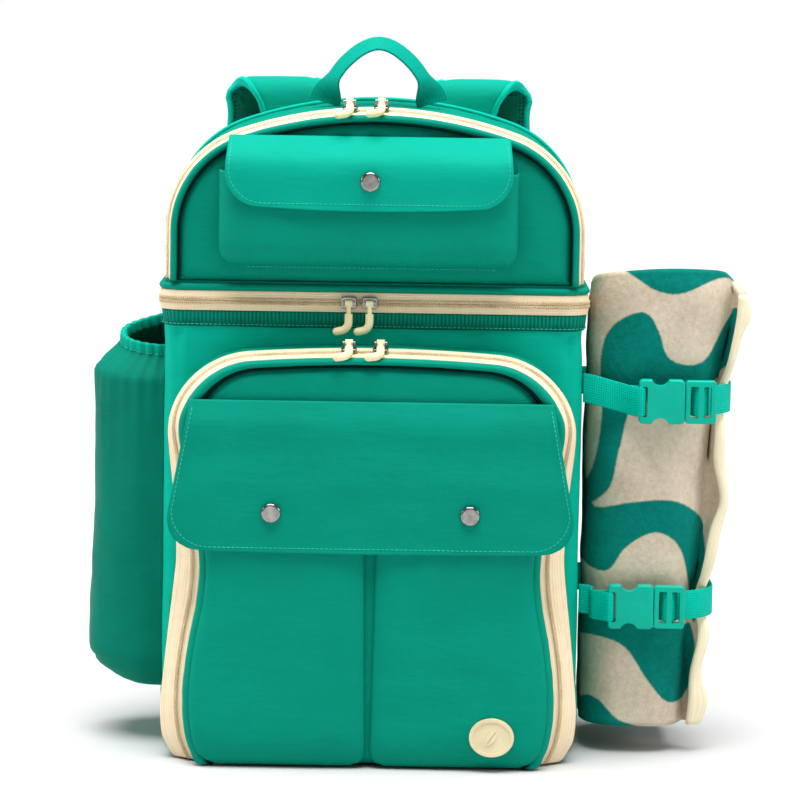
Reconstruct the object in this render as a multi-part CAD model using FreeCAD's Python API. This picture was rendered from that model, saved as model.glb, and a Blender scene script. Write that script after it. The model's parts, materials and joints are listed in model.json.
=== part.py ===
import FreeCAD, Part
import math
import os

# Insulated picnic backpack: a boxy cooler compartment with a zipped top compartment hinged on its
# back edge, a zipped drop-down front pocket, a bottle sleeve on its right-hand side (-X) and a
# rolled blanket strapped to the other side (+X).
# Millimetres. +Z is up, the wearer's back is on +Y, the front pocket faces -Y. The origin is on the
# ground, under the middle of the base.

V = FreeCAD.Vector
X_AXIS = V(1, 0, 0)
Y_AXIS = V(0, 1, 0)
Z_AXIS = V(0, 0, 1)

# ---- driving dimensions -------------------------------------------------------------------------
BODY_HALF = 142.0          # half width of the cooler compartment
BODY_FRONT = -46.0         # outer face of its front wall
BODY_BACK = 94.0           # outer face of its back wall
BODY_CORNER = 14.0         # radius of its upright corners
BODY_TOP = 300.0           # top edge of its walls
WALL = 3.0                 # lined fabric wall
BASE = 4.0                 # base panel
FIT = 0.4                  # gap between pieces that move past each other

BAND_LOW = 302.6           # lower edge of the band zip
ZIP_LEVEL = 309.4          # where its two halves meet
BAND_PROUD = 4.0           # how far it stands out from the walls
LID_BOTTOM = 316.3
LID_FLOOR = 6.0
LID_PIPING = 4.2           # height of the piped edge round the lid's floor

FOAM = 6.0
LINER = 1.2
BACK_PAD = (92.0, 40.0, 288.0, 8.7)    # half width, low, high, thickness

# Arched outlines: half width, top, radius of the long top arc, radius of the corner arcs, bottom.
TOP_ARCH = (BODY_HALF, 440.0, 283.0, 72.0, LID_BOTTOM + LID_FLOOR + FIT)
POCKET_ARCH = (138.0, 281.0, 1070.0, 60.0, BASE + 1.0)
# How much faster the front pocket's rings narrow at their sides than at their top.
POCKET_FLARE = 1.7

# Front edges of the successive rings of the top compartment, from its back wall forward.
TOP_GUSSET_FRONT = -28.6
TOP_ZIP_SPLIT = -36.8
TOP_RIM_BACK = -45.0
TOP_RIM_FRONT = -51.0
TOP_PANEL_FRONT = -48.5
# The same for the front pocket.
POCKET_GUSSET_FRONT = -70.0
POCKET_ZIP_SPLIT = -78.2
POCKET_RIM_BACK = -86.0
POCKET_RIM_FRONT = -95.0
POCKET_PANEL_FRONT = -93.0
# How far each ring is set in from the arched outline.
ZIP_INSET_MIDDLE = 2.3
RIM_INSET_BACK = 4.5
RIM_INSET_FRONT = 8.6
PANEL_INSET = 9.6
RING = 2.4                 # thickness of the rings
PANEL = 2.0                # thickness of a panel or a flap

TOP_POCKET_X = -3.5        # the top pocket sits a little to the right-hand side
TOP_POCKET_HALF = 98.0
TOP_POCKET_LOW = 334.0
TOP_POCKET_HIGH = 398.0
TOP_POCKET_FRONT = -76.0
TOP_SNAP_HEIGHT = 392.5
TOP_FLAP_LINE = 420.5      # seam that the top flap swings on
TOP_FLAP_END = 375.0

SNAP_RADIUS = 6.6
SNAP_DEEP = 2.2
SNAP_REACH = 2.2           # how far a snapped flap stands off its pocket

PATCH_SIDE = 118.4
PATCH_GAP = 4.0            # half the slit between the two patch pockets
PATCH_LOW = 8.0
PATCH_HIGH = 187.5
PATCH_FRONT = -102.0
LOWER_SNAP_X = 66.0
LOWER_SNAP_HEIGHT = 174.0
LOWER_FLAP_LINE = 248.5
LOWER_FLAP_END = 148.0
LOWER_FLAP_HALF = 137.0
FLAP_CORNER = 24.0
BADGE_X = 83.0
BADGE_HEIGHT = 24.0

SLEEVE_OUT = 54.0          # how far the bottle sleeve stands out
SLEEVE_FRONT = -28.0
SLEEVE_BACK = 68.0
SLEEVE_LOW = 38.0
SLEEVE_SHOULDER = 254.0    # where its elastic starts to draw it in
SLEEVE_HIGH = 274.0
SLEEVE_DRAWN = 16.0        # how far the elastic draws the mouth in
SLEEVE_CORNER = 22.0
SLEEVE_RIM = 9.0           # height of its bound mouth

ROLL_LOW = 19.0
ROLL_HIGH = 330.0
STRAPS = {"upper": (245.0, 180.0), "lower": (104.0, 162.0)}    # height, x of the buckle's start
STRAP_WIDTH = 20.0
WEBBING = 1.6
SOCKET_LONG = 31.0
CLIP_LONG = 21.0

HANDLE_Y = 66.0
HANDLE_HALF = 48.0
HANDLE_WEB = 20.0          # width of its webbing
HANDLE_TOP = 482.0


# ---- shapes -------------------------------------------------------------------------------------
def box(x0, x1, y0, y1, z0, z1):
    return Part.makeBox(x1 - x0, y1 - y0, z1 - z0, V(x0, y0, z0))


def soften(solid, radius, direction=None):
    """Rounds the edges that run along direction, or every edge."""
    edges = []
    for edge in solid.Edges:
        along = (edge.Vertexes[-1].Point - edge.Vertexes[0].Point)
        if direction is None:
            edges.append(edge)
        elif along.Length > 1e-6 and abs(along.normalize().dot(direction)) > 0.999:
            edges.append(edge)
    return solid.makeFillet(radius, edges)


def upright_prism(x0, x1, y0, y1, z0, z1, radius):
    return soften(box(x0, x1, y0, y1, z0, z1), radius, Z_AXIS)


def body_prism(grow, z0, z1):
    """The cooler compartment's plan, grown by this much all round."""
    return upright_prism(-BODY_HALF - grow, BODY_HALF + grow, BODY_FRONT - grow, BODY_BACK + grow,
                         z0, z1, BODY_CORNER + grow)


def body_ring(inner, outer, z0, z1):
    return body_prism(outer, z0, z1).cut(body_prism(inner, z0 - 1, z1 + 1))


def three_sides(ring):
    """Leaves out the stretch along the back, where the top compartment hinges."""
    return ring.cut(box(-300, 300, BODY_BACK - 12, BODY_BACK + 60, 0, 600))


def narrowed(arch, inset):
    """The arch set in from its top, and its sides set in by the flare as well."""
    flare = POCKET_FLARE if arch is POCKET_ARCH else 1.0
    half, top, top_radius, corner_radius, bottom = arch
    return (half - inset * (flare - 1.0), top, top_radius, corner_radius, bottom)


def arch_wire(arch, inset, y, drop=0.0):
    """Upright sides, two corner arcs and one long arc over the top, all tangent."""
    half, top, top_radius, corner_radius, bottom = narrowed(arch, inset)
    low = bottom - drop
    corner_x = half - corner_radius
    centre_z = top - top_radius
    corner_z = centre_z + math.sqrt((top_radius - corner_radius) ** 2 - corner_x ** 2)
    lean = math.atan2(corner_x, corner_z - centre_z)
    side = half - inset
    reach = top_radius - inset
    r = corner_radius - inset

    def on_corner(angle, sign):
        return V(sign * (corner_x + r * math.sin(angle)), y, corner_z + r * math.cos(angle))

    def on_top(angle):
        return V(reach * math.sin(angle), y, centre_z + reach * math.cos(angle))

    middle = (lean + math.pi / 2) / 2
    edges = [
        Part.LineSegment(V(-side, y, low), V(-side, y, corner_z)),
        Part.Arc(V(-side, y, corner_z), on_corner(middle, -1), on_top(-lean)),
        Part.Arc(on_top(-lean), on_top(0), on_top(lean)),
        Part.Arc(on_top(lean), on_corner(middle, 1), V(side, y, corner_z)),
        Part.LineSegment(V(side, y, corner_z), V(side, y, low)),
        Part.LineSegment(V(side, y, low), V(-side, y, low)),
    ]
    return Part.Wire([e.toShape() for e in edges])


def arch_loft(arch, back, front, inset_back, inset_front, drop=0.0):
    wires = [arch_wire(arch, inset_back, back, drop), arch_wire(arch, inset_front, front, drop)]
    return Part.makeLoft(wires, True, True)


def arch_plate(arch, inset, back, front):
    return arch_loft(arch, back, front, inset, inset)


def arch_ring(arch, back, front, inset_back, inset_front, thick=RING):
    """A band that follows the outline up one side, over the top and down the other."""
    outer = arch_loft(arch, back, front, inset_back, inset_front)
    slope = (inset_front - inset_back) / (front - back)
    inner = arch_loft(arch, back + 1, front - 1, inset_back + slope + thick,
                      inset_front - slope + thick, drop=1.0)
    return outer.cut(inner)


def top_arc_point(arch, inset, x):
    """Height of the outline's long top arc at x."""
    top_radius = arch[2]
    return arch[1] - top_radius + math.sqrt((top_radius - inset) ** 2 - x ** 2)


def sheet_along(points, thick, half):
    """A bent sheet: a line of (y, z) points, thickened forwards and extruded across X."""
    normals = []
    for (y0, z0), (y1, z1) in zip(points, points[1:]):
        length = math.hypot(y1 - y0, z1 - z0)
        normals.append(((z1 - z0) / length, -(y1 - y0) / length))
    offset = []
    for i, (y, z) in enumerate(points):
        before = normals[max(i - 1, 0)]
        after = normals[min(i, len(normals) - 1)]
        ny, nz = before[0] + after[0], before[1] + after[1]
        scale = 2.0 / (ny * ny + nz * nz)
        offset.append((y + ny * scale * thick, z + nz * scale * thick))
    corners = [V(-half, y, z) for y, z in points + offset[::-1]]
    face = Part.Face(Part.makePolygon(corners + corners[:1]))
    return face.extrude(V(2 * half, 0, 0))


def rounded_front(half_low, half_high, low, high, radius):
    """An outline seen from the front, with its lower corners rounded, as a deep prism."""
    corners = [V(-half_high, -300, high), V(half_high, -300, high),
               V(half_low, -300, low), V(-half_low, -300, low)]
    prism = Part.Face(Part.makePolygon(corners + corners[:1])).extrude(V(0, 600, 0))
    edges = [e for e in prism.Edges
             if abs(e.Vertexes[0].Z - low) < 1e-6 and abs(e.Vertexes[-1].Z - low) < 1e-6
             and e.BoundBox.YLength > 500]
    return prism.makeFillet(radius, edges)


def tray(x0, x1, front, back, z0, z1, wall, radius):
    """A patch pocket: a front sheet, two sides and a bottom, open at the top and at the back."""
    above = z1 + 3 * radius
    outer = soften(box(x0, x1, front, back, z0, above), radius, Y_AXIS)
    inner = soften(box(x0 + wall, x1 - wall, front + wall, back + 1, z0 + wall, above + radius),
                   max(radius - wall, 0.5), Y_AXIS)
    return outer.cut(inner).common(box(x0, x1, front, back, z0, z1))


def oval_face(half_x, half_z):
    """An upright ellipse that faces along Y, whichever of its half axes is the longer."""
    if half_x >= half_z:
        curve = Part.Ellipse(V(0, 0, 0), half_x, half_z)
    else:
        curve = Part.Ellipse(V(0, half_z, 0), V(half_x, 0, 0), V(0, 0, 0))
    face = Part.Face(Part.Wire([curve.toShape()]))
    face.rotate(V(0, 0, 0), X_AXIS, 90)
    return face


def disc(x, y, z, radius, depth):
    """A round plate whose back is at y and whose front is depth further forward."""
    return Part.makeCylinder(radius, depth, V(x, y, z), V(0, -1, 0))


def snap_cap(x, y, z):
    """The domed cap outside a flap, with the rolled edge of its socket behind it."""
    dome = disc(x, y, z, SNAP_RADIUS, SNAP_DEEP)
    rim = [e for e in dome.Edges if e.BoundBox.YLength < 1e-6 and e.Vertexes[0].Y < y - 1]
    return dome.makeFillet(SNAP_DEEP - 0.5, rim)


def snap_stud(x, y, z):
    flange = 0.6
    stud = disc(x, y, z, SNAP_RADIUS - 1.6, flange).fuse(disc(x, y - flange, z, 2.0, 1.0))
    return stud.removeSplitter()


def export(name, *solids):
    shape = solids[0] if len(solids) == 1 else Part.makeCompound(list(solids))
    volumes = [s.Volume for s in shape.Solids]
    good = shape.isValid() and volumes and min(volumes) > 0
    print(f"{name:26s} {'ok ' if good else 'BAD'} solids {len(volumes)} volume {sum(volumes):.0f}")
    shape.exportStep(f"parts/{name}.step")


# ---- cooler compartment -------------------------------------------------------------------------
def cooler_compartment():
    main = upright_prism(-BODY_HALF + 2, BODY_HALF - 2, BODY_FRONT + 1, BODY_BACK - 1, 0, BASE, 16)
    wide = POCKET_ARCH[0]
    narrow = wide - PANEL_INSET * POCKET_FLARE
    y_front = POCKET_PANEL_FRONT + 1.5
    corners = [V(-wide, BODY_FRONT + 20, 0), V(-wide, POCKET_GUSSET_FRONT, 0), V(-narrow, y_front, 0),
               V(narrow, y_front, 0), V(wide, POCKET_GUSSET_FRONT, 0), V(wide, BODY_FRONT + 20, 0)]
    pocket_floor = Part.Face(Part.makePolygon(corners + corners[:1])).extrude(V(0, 0, BASE))
    export("base_panel", main.fuse(pocket_floor).removeSplitter())

    walls = body_ring(-WALL, 0, BASE, BODY_TOP)
    seam = BODY_HALF - BODY_CORNER
    export("front_wall", walls.common(box(-seam, seam, -200, 0, 0, 400)))
    export("back_panel", walls.common(box(-seam, seam, 60, 200, 0, 400)))
    export("right_side_panel", walls.common(box(-300, -seam, -200, 200, 0, 400)))
    export("left_side_panel", walls.common(box(seam, 300, -200, 200, 0, 400)))

    half, low, high, thick = BACK_PAD
    pad_back = BODY_BACK + 0.3
    export("back_pad", soften(box(-half, half, pad_back, pad_back + thick, low, high), 3.5))

    board_top = BASE + 3.2
    gap = WALL + 0.5
    export("base_board", body_prism(-gap - 5, BASE + 0.2, board_top))
    foam_low = board_top + 0.3
    foam = body_prism(-gap, foam_low, BODY_TOP - 2)
    foam_hollow = body_prism(-gap - FOAM, foam_low + FOAM, BODY_TOP)
    export("insulation_foam", foam.cut(foam_hollow))
    liner_gap = gap + FOAM + 0.3
    liner_low = foam_low + FOAM + 0.3
    liner = body_prism(-liner_gap, liner_low, BODY_TOP)
    liner_hollow = body_prism(-liner_gap - LINER, liner_low + LINER, BODY_TOP + 1)
    export("cooler_liner", liner.cut(liner_hollow))

    export("rim_binding", three_sides(body_ring(0.2, 1.6, BAND_LOW - 11, BAND_LOW - 0.2)))
    export("band_zip_lower", three_sides(body_ring(0.8, BAND_PROUD, BAND_LOW, ZIP_LEVEL - 0.2)))


def pocket_surround():
    """The fixed rear half of the front pocket."""
    export("pocket_gusset", arch_ring(POCKET_ARCH, BODY_FRONT - 0.3, POCKET_GUSSET_FRONT, 0, 0))
    export("pocket_zip_outer", arch_ring(POCKET_ARCH, POCKET_GUSSET_FRONT - 0.1,
                                         POCKET_ZIP_SPLIT + 0.3, 0, ZIP_INSET_MIDDLE))


def sleeve_wire(inset, z):
    """A D-shaped plan against the bag's side, set in by this much."""
    drawn = SLEEVE_DRAWN if z > SLEEVE_SHOULDER + 1 else 0.0
    x_in = -BODY_HALF - 0.5 - min(inset, 3.0)
    x_out = -BODY_HALF - 0.5 - SLEEVE_OUT + drawn + inset
    low = SLEEVE_FRONT + drawn + inset
    high = SLEEVE_BACK - drawn - inset
    r = SLEEVE_CORNER - drawn / 4 - inset
    bend = r * (1 - math.sqrt(0.5))
    edges = [
        Part.LineSegment(V(x_in, high, z), V(x_in, low, z)),
        Part.LineSegment(V(x_in, low, z), V(x_out + r, low, z)),
        Part.Arc(V(x_out + r, low, z), V(x_out + bend, low + bend, z), V(x_out, low + r, z)),
        Part.LineSegment(V(x_out, low + r, z), V(x_out, high - r, z)),
        Part.Arc(V(x_out, high - r, z), V(x_out + bend, high - bend, z), V(x_out + r, high, z)),
        Part.LineSegment(V(x_out + r, high, z), V(x_in, high, z)),
    ]
    return Part.Wire([e.toShape() for e in edges])


def sleeve_tube(inset, low, high):
    """Straight up to the shoulder, then drawn in to the mouth."""
    straight = Part.makeLoft([sleeve_wire(inset, low), sleeve_wire(inset, SLEEVE_SHOULDER)],
                             True, True)
    drawn = Part.makeLoft([sleeve_wire(inset, SLEEVE_SHOULDER), sleeve_wire(inset, high)],
                          True, True)
    return straight.fuse(drawn)


def bottle_sleeve():
    wall = 2.4
    binding = 1.4
    hollow = sleeve_tube(wall, SLEEVE_LOW + wall, SLEEVE_HIGH)
    mouth = Part.Face(sleeve_wire(wall, SLEEVE_HIGH)).extrude(V(0, 0, 2 * SLEEVE_RIM))
    sleeve = sleeve_tube(0, SLEEVE_LOW, SLEEVE_HIGH).cut(hollow).cut(mouth).removeSplitter()
    export("bottle_sleeve", sleeve)
    outer = Part.Face(sleeve_wire(-binding, SLEEVE_HIGH)).extrude(V(0, 0, SLEEVE_RIM))
    rim = outer.cut(mouth)
    rim.translate(V(0, 0, 0.1))
    export("sleeve_rim", rim.cut(body_prism(0.4, 0, 400)))


# ---- front pocket -------------------------------------------------------------------------------
def front_pocket():
    arch = POCKET_ARCH
    export("pocket_zip_inner", arch_ring(arch, POCKET_ZIP_SPLIT - 0.3, POCKET_RIM_BACK + 0.1,
                                         ZIP_INSET_MIDDLE, RIM_INSET_BACK))
    rim = arch_ring(arch, POCKET_RIM_BACK, POCKET_RIM_FRONT, RIM_INSET_BACK, RIM_INSET_FRONT)
    panel = arch_plate(arch, PANEL_INSET, POCKET_PANEL_FRONT + PANEL, POCKET_PANEL_FRONT)
    export("front_pocket_rim", rim.cut(panel))
    export("front_pocket_panel", panel)
    patches = []
    for side in (-1, 1):
        x0, x1 = sorted((side * PATCH_GAP, side * PATCH_SIDE))
        patches.append(tray(x0, x1, PATCH_FRONT, POCKET_PANEL_FRONT - 0.1, PATCH_LOW, PATCH_HIGH,
                            PANEL - 0.4, 4))
    export("patch_pockets", *patches)
    export("patch_pocket_studs", *[snap_stud(side * LOWER_SNAP_X, PATCH_FRONT, LOWER_SNAP_HEIGHT)
                                   for side in (-1, 1)])
    export("badge", badge(BADGE_X, PATCH_FRONT - 0.05, BADGE_HEIGHT))

    half_high = POCKET_ARCH[0] - PANEL_INSET * POCKET_FLARE - 0.5
    knee = (PATCH_FRONT - SNAP_REACH, LOWER_FLAP_LINE - 40)
    profile = [(POCKET_RIM_FRONT - FIT, LOWER_FLAP_LINE), knee, (knee[0], LOWER_FLAP_END)]
    flap = sheet_along(profile, PANEL, LOWER_FLAP_HALF + 5)
    outline = rounded_front(LOWER_FLAP_HALF, half_high, LOWER_FLAP_END, LOWER_FLAP_LINE + 5,
                            FLAP_CORNER)
    export("lower_flap", flap.common(outline))
    front = knee[0] - PANEL
    export("lower_flap_snaps", *[snap_cap(side * LOWER_SNAP_X, front, LOWER_SNAP_HEIGHT)
                                 for side in (-1, 1)])


def oval(x, y, z, half_x, half_z, depth):
    face = oval_face(half_x, half_z)
    face.translate(V(x, y, z))
    return face.extrude(V(0, -depth, 0))


def badge(x, y, z):
    """A moulded oval badge with a raised border and a raised leaf."""
    half_x, half_z = 15.0, 13.0
    plate = oval(x, y, z, half_x, half_z, 2.2)
    plate = plate.cut(oval(x, y - 1.5, z, half_x - 2.2, half_z - 2.2, 2.0))
    leaf_radius, leaf_half = 9.0, 6.5
    shift = math.sqrt(leaf_radius ** 2 - leaf_half ** 2)
    leaf = disc(x - shift, y - 1.2, z, leaf_radius, 0.9).common(
        disc(x + shift, y - 1.2, z, leaf_radius, 0.9))
    leaf = leaf.cut(box(x - 0.35, x + 0.35, y - 5, y - 1.5, z - 5, z + 5))
    leaf.rotate(V(x, y, z), Y_AXIS, 35)
    return plate.fuse(leaf)


# ---- top compartment ----------------------------------------------------------------------------
def top_compartment():
    floor = body_prism(-0.5, LID_BOTTOM, LID_BOTTOM + LID_FLOOR)
    piping = three_sides(body_ring(-2.0, BAND_PROUD - 0.4, LID_BOTTOM, LID_BOTTOM + LID_PIPING))
    export("lid_floor", floor.fuse(piping).removeSplitter())
    export("lid_insulation", body_prism(-12, ZIP_LEVEL + 0.4, LID_BOTTOM - 0.2))
    export("band_zip_upper",
           three_sides(body_ring(0.8, BAND_PROUD, ZIP_LEVEL + 0.2, LID_BOTTOM - 0.1)))
    export("top_gusset", arch_ring(TOP_ARCH, BODY_BACK - WALL - 0.1, TOP_GUSSET_FRONT, 0, 0, WALL))
    export("top_back_panel", arch_plate(TOP_ARCH, 0, BODY_BACK, BODY_BACK - WALL))
    export("top_zip_outer", arch_ring(TOP_ARCH, TOP_GUSSET_FRONT - 0.1, TOP_ZIP_SPLIT + 0.2, 0,
                                      ZIP_INSET_MIDDLE))


def handle():
    """A webbing loop: its feet lie flat to the front, and it turns edge-on over the top."""
    foot = TOP_ARCH[1] + 0.2
    rise = HANDLE_TOP - foot

    def half_oval(half, height, width):
        """Half an ellipse standing on the bag, as deep as the given width."""
        solid = oval_face(half, height).extrude(V(0, -width, 0))
        solid.translate(V(0, HANDLE_Y + width / 2, foot))
        return solid.common(box(-200, 200, -200, 300, foot, 600))

    thick = 4.5
    legs = half_oval(HANDLE_HALF, rise, thick)
    legs = legs.cut(half_oval(HANDLE_HALF - HANDLE_WEB, rise - thick, thick + 2))
    span = half_oval(HANDLE_HALF, rise, HANDLE_WEB)
    span = span.cut(half_oval(HANDLE_HALF - thick, rise - thick, HANDLE_WEB + 2))
    span = span.common(box(-100, 100, 0, 200, foot + rise * 0.6, 600))
    export("carry_handle", legs.fuse(span).removeSplitter())


def top_front():
    arch = TOP_ARCH
    export("top_zip_inner", arch_ring(arch, TOP_ZIP_SPLIT - 0.2, TOP_RIM_BACK + 0.1,
                                      ZIP_INSET_MIDDLE, RIM_INSET_BACK))
    rim = arch_ring(arch, TOP_RIM_BACK, TOP_RIM_FRONT, RIM_INSET_BACK, RIM_INSET_FRONT)
    panel = arch_plate(arch, PANEL_INSET, TOP_PANEL_FRONT + PANEL, TOP_PANEL_FRONT)
    export("top_front_rim", rim.cut(panel))
    export("top_front_panel", panel)
    export("top_pocket", tray(TOP_POCKET_X - TOP_POCKET_HALF, TOP_POCKET_X + TOP_POCKET_HALF,
                              TOP_POCKET_FRONT, TOP_PANEL_FRONT - 0.1, TOP_POCKET_LOW,
                              TOP_POCKET_HIGH, PANEL, 10))
    export("top_pocket_stud", snap_stud(TOP_POCKET_X, TOP_POCKET_FRONT, TOP_SNAP_HEIGHT))
    knee = (TOP_POCKET_FRONT - SNAP_REACH, TOP_POCKET_HIGH + 5)
    profile = [(TOP_RIM_FRONT - FIT, TOP_FLAP_LINE), knee, (knee[0], TOP_FLAP_END)]
    flap = sheet_along(profile, PANEL, TOP_POCKET_HALF)
    half = TOP_POCKET_HALF - 2
    outline = rounded_front(half, half, TOP_FLAP_END, TOP_FLAP_LINE + 9, FLAP_CORNER)
    flap = flap.common(outline)
    flap.translate(V(TOP_POCKET_X, 0, 0))
    export("top_flap", flap)
    export("top_flap_snap", snap_cap(TOP_POCKET_X, knee[0] - PANEL, TOP_SNAP_HEIGHT))


# ---- zip sliders and pulls ----------------------------------------------------------------------
BAR_OUT = 6.4              # how far a slider's bar stands off the zip
PULL_TUBE = 2.7
PULL_NECK = 1.5
PULL_DROOP = 10.0          # how far the upper pulls sag from their zips' slope
SLIDER_LIFT = 0.8          # room for the teeth under the arched zips' sliders
ZIP_SLOPE = 15.0           # how far those sliders lean forward


def slider():
    """Faces -Y with its zip running along X. The pull hangs on the bar between its two posts."""
    plate = soften(box(-5.2, 5.2, -2.9, -0.4, -4.0, 4.2), 1.6, Y_AXIS)
    front = [e for e in plate.Edges if e.BoundBox.YMax < -2.8]
    plate = plate.makeFillet(0.7, front)
    posts = [soften(box(x - 0.6, x + 0.6, -BAR_OUT - 1.1, -2.5, -1.5, 1.5), 0.9, X_AXIS)
             for x in (-3.6, 3.6)]
    bar = Part.makeCylinder(0.8, 7.4, V(-3.7, -BAR_OUT, 0), X_AXIS)
    return plate.fuse(posts + [bar]).removeSplitter()


def pull():
    """An eye round the bar and a round rubber tail that bends to one side at its end."""
    eye = Part.makeCylinder(2.1, 5.0, V(-2.5, -BAR_OUT, 0), X_AXIS)
    neck = Part.makeCylinder(PULL_NECK, 6.0, V(0, -BAR_OUT, -1.5), V(0, 0, -1))
    bend = 6.0
    bottom = -12.5
    sweep = math.radians(78)
    start = V(0, -BAR_OUT, -7.0)
    low = V(0, -BAR_OUT, bottom)

    def on_bend(angle):
        return V(-bend + bend * math.cos(angle), -BAR_OUT, bottom - bend * math.sin(angle))

    end = on_bend(sweep)
    tip = end + V(-math.sin(sweep), 0, -math.cos(sweep)) * 3.2
    edges = [Part.LineSegment(start, low), Part.Arc(low, on_bend(sweep / 2), end),
             Part.LineSegment(end, tip)]
    path = Part.Wire([e.toShape() for e in edges])
    section = Part.Wire([Part.Circle(start, Z_AXIS, PULL_TUBE).toShape()])
    tail = path.makePipeShell([section], True, False)
    whole = eye.fuse([neck, tail, Part.makeSphere(PULL_TUBE, tip)])
    return whole.cut(Part.makeCylinder(1.05, 8, V(-4, -BAR_OUT, 0), X_AXIS)).removeSplitter()


def place(shape, x, y, z, tilt=0.0, roll=0.0):
    """Tips the shape back about X, rolls it about Y, and carries its zip point to x, y, z."""
    moved = shape.copy()
    moved.rotate(V(0, 0, 0), X_AXIS, -tilt)
    moved.rotate(V(0, 0, 0), Y_AXIS, roll)
    moved.translate(V(x, y, z))
    return moved


def drooped_pull(droop):
    """The pull turned about its own bar, away from the slider's face when droop is negative."""
    made = pull()
    made.rotate(V(0, -BAR_OUT, 0), X_AXIS, droop)
    return made


def zip_hardware():
    band_y = BODY_FRONT - BAND_PROUD
    for side, x in (("right", -17.0), ("left", -3.0)):
        export(f"band_slider_{side}", place(slider(), x, band_y, ZIP_LEVEL))
        export(f"band_pull_{side}", place(pull(), x, band_y, ZIP_LEVEL))
    tracks = (("top", TOP_ARCH, TOP_ZIP_SPLIT, (-18.0, 3.0)),
              ("pocket", POCKET_ARCH, POCKET_ZIP_SPLIT, (-16.0, 5.0)))
    for name, arch, split, places in tracks:
        for side, x in zip(("right", "left"), places):
            z = top_arc_point(arch, ZIP_INSET_MIDDLE, x) + SLIDER_LIFT
            roll = math.degrees(math.asin(x / (arch[2] - ZIP_INSET_MIDDLE)))
            tilt = 90.0 - ZIP_SLOPE
            export(f"{name}_slider_{side}", place(slider(), x, split, z, tilt, roll))
            export(f"{name}_pull_{side}", place(drooped_pull(PULL_DROOP), x, split, z, tilt, roll))


# ---- blanket, its straps and buckles ------------------------------------------------------------
ROLL_IN = 147.5
ROLL_FRONT = -38.0
ROLL_BACK = 74.0
ROLL_OUT_LOW = 238.0
ROLL_OUT_HIGH = 252.0
ROLL_CORNER = 34.0
EDGE_FRONT = 6.0           # where the blanket's bound edge lies
EDGE_WIDE = 24.0
EDGE_THICK = 2.0
STRAP_GAP = 1.4            # between the roll and its straps
STRAP_SLACK = 3.0          # the same where the blanket's bound edge runs under them
BUCKLE_BACK = ROLL_FRONT - STRAP_GAP - WEBBING - 0.3
BUCKLE_DEEP = 8.0
SOCKET_HALF = 15.0
SOCKET_WAIST = 14.5        # from its start to the middle of its waist
CLIP_HALF = 14.6
CLIP_SLOTS = (3.4, 12.2)   # where its two slots start
CLIP_SLOT = 5.4


def roll_width(z):
    share = (z - ROLL_LOW) / (ROLL_HIGH - ROLL_LOW)
    return ROLL_OUT_LOW + share * (ROLL_OUT_HIGH - ROLL_OUT_LOW)


def roll_wire(z, grow=0.0):
    prism = upright_prism(ROLL_IN - grow, roll_width(z) + grow, ROLL_FRONT - grow, ROLL_BACK + grow,
                          z, z + 1, ROLL_CORNER + grow)
    face = min(prism.Faces, key=lambda f: f.CenterOfMass.z)
    return face.OuterWire


def blanket():
    roll = Part.makeLoft([roll_wire(ROLL_LOW), roll_wire(ROLL_HIGH)], True, True)
    export("blanket_roll", roll)
    inner = [V(roll_width(z) + 0.1, EDGE_FRONT, z) for z in (ROLL_LOW + 2, ROLL_HIGH - 2)]
    outer = [p + V(EDGE_THICK, 0, 0) for p in inner]
    face = Part.Face(Part.makePolygon(inner + outer[::-1] + inner[:1]))
    export("blanket_binding", face.extrude(V(0, EDGE_WIDE, 0)))


def strap_loop(height, left):
    """Webbing round the roll, from the bag's side to behind the buckle's clip, and on its other
    side from the bag to the buckle's socket, where it turns round the socket's bar."""
    z0 = height - STRAP_WIDTH / 2
    z1 = height + STRAP_WIDTH / 2
    out = roll_width(z1) + STRAP_SLACK
    outer = upright_prism(ROLL_IN - 40, out + WEBBING, ROLL_FRONT - STRAP_GAP - WEBBING,
                          ROLL_BACK + STRAP_GAP + WEBBING, z0, z1, ROLL_CORNER + WEBBING)
    inner = upright_prism(ROLL_IN - 39, out, ROLL_FRONT - STRAP_GAP, ROLL_BACK + STRAP_GAP,
                          z0 - 1, z1 + 1, ROLL_CORNER)
    hidden = box(left + 7.4, left + SOCKET_LONG + 12, -200, 0, 0, 600)
    loop = outer.cut(inner).cut(hidden).cut(body_prism(0.05, 0, 500))
    y_low = BUCKLE_BACK - BUCKLE_DEEP - 0.3
    y_high = ROLL_FRONT - STRAP_GAP
    turn = box(left - 12, left + 5.3, y_low - WEBBING, y_high, z0, z1)
    hollow = box(left - 10.4, left + 3.7, y_low, y_high - WEBBING, z0 - 1, z1 + 1)
    return loop.fuse(turn.cut(hollow)).removeSplitter()


def buckle_socket(height, x0):
    """The female half: a hollow shell with a waist, open towards +X, and a webbing bar."""
    length = SOCKET_LONG
    half = SOCKET_HALF
    back = BUCKLE_BACK
    front = back - BUCKLE_DEEP
    shell = soften(box(x0, x0 + length, front, back, height - half, height + half), 3, Y_AXIS)
    front_edges = [e for e in shell.Edges if e.BoundBox.YMax < front + 0.01]
    shell = shell.makeFillet(1.2, front_edges)
    waist_x = x0 + SOCKET_WAIST
    for side in (-1, 1):
        z = height + side * (half + 2.0)
        shell = shell.cut(Part.makeCylinder(6.2, 20, V(waist_x, front - 5, z), Y_AXIS))
    slot = soften(box(x0 + 2.2, x0 + 5.6, front - 5, back + 5, height - 10.4, height + 10.4), 1.2,
                  Y_AXIS)
    hollow = box(x0 + 8.0, x0 + length + 1, front + 1.5, back - 1.5, height - 9.5, height + 9.5)
    return shell.cut(slot).cut(hollow)


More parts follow.
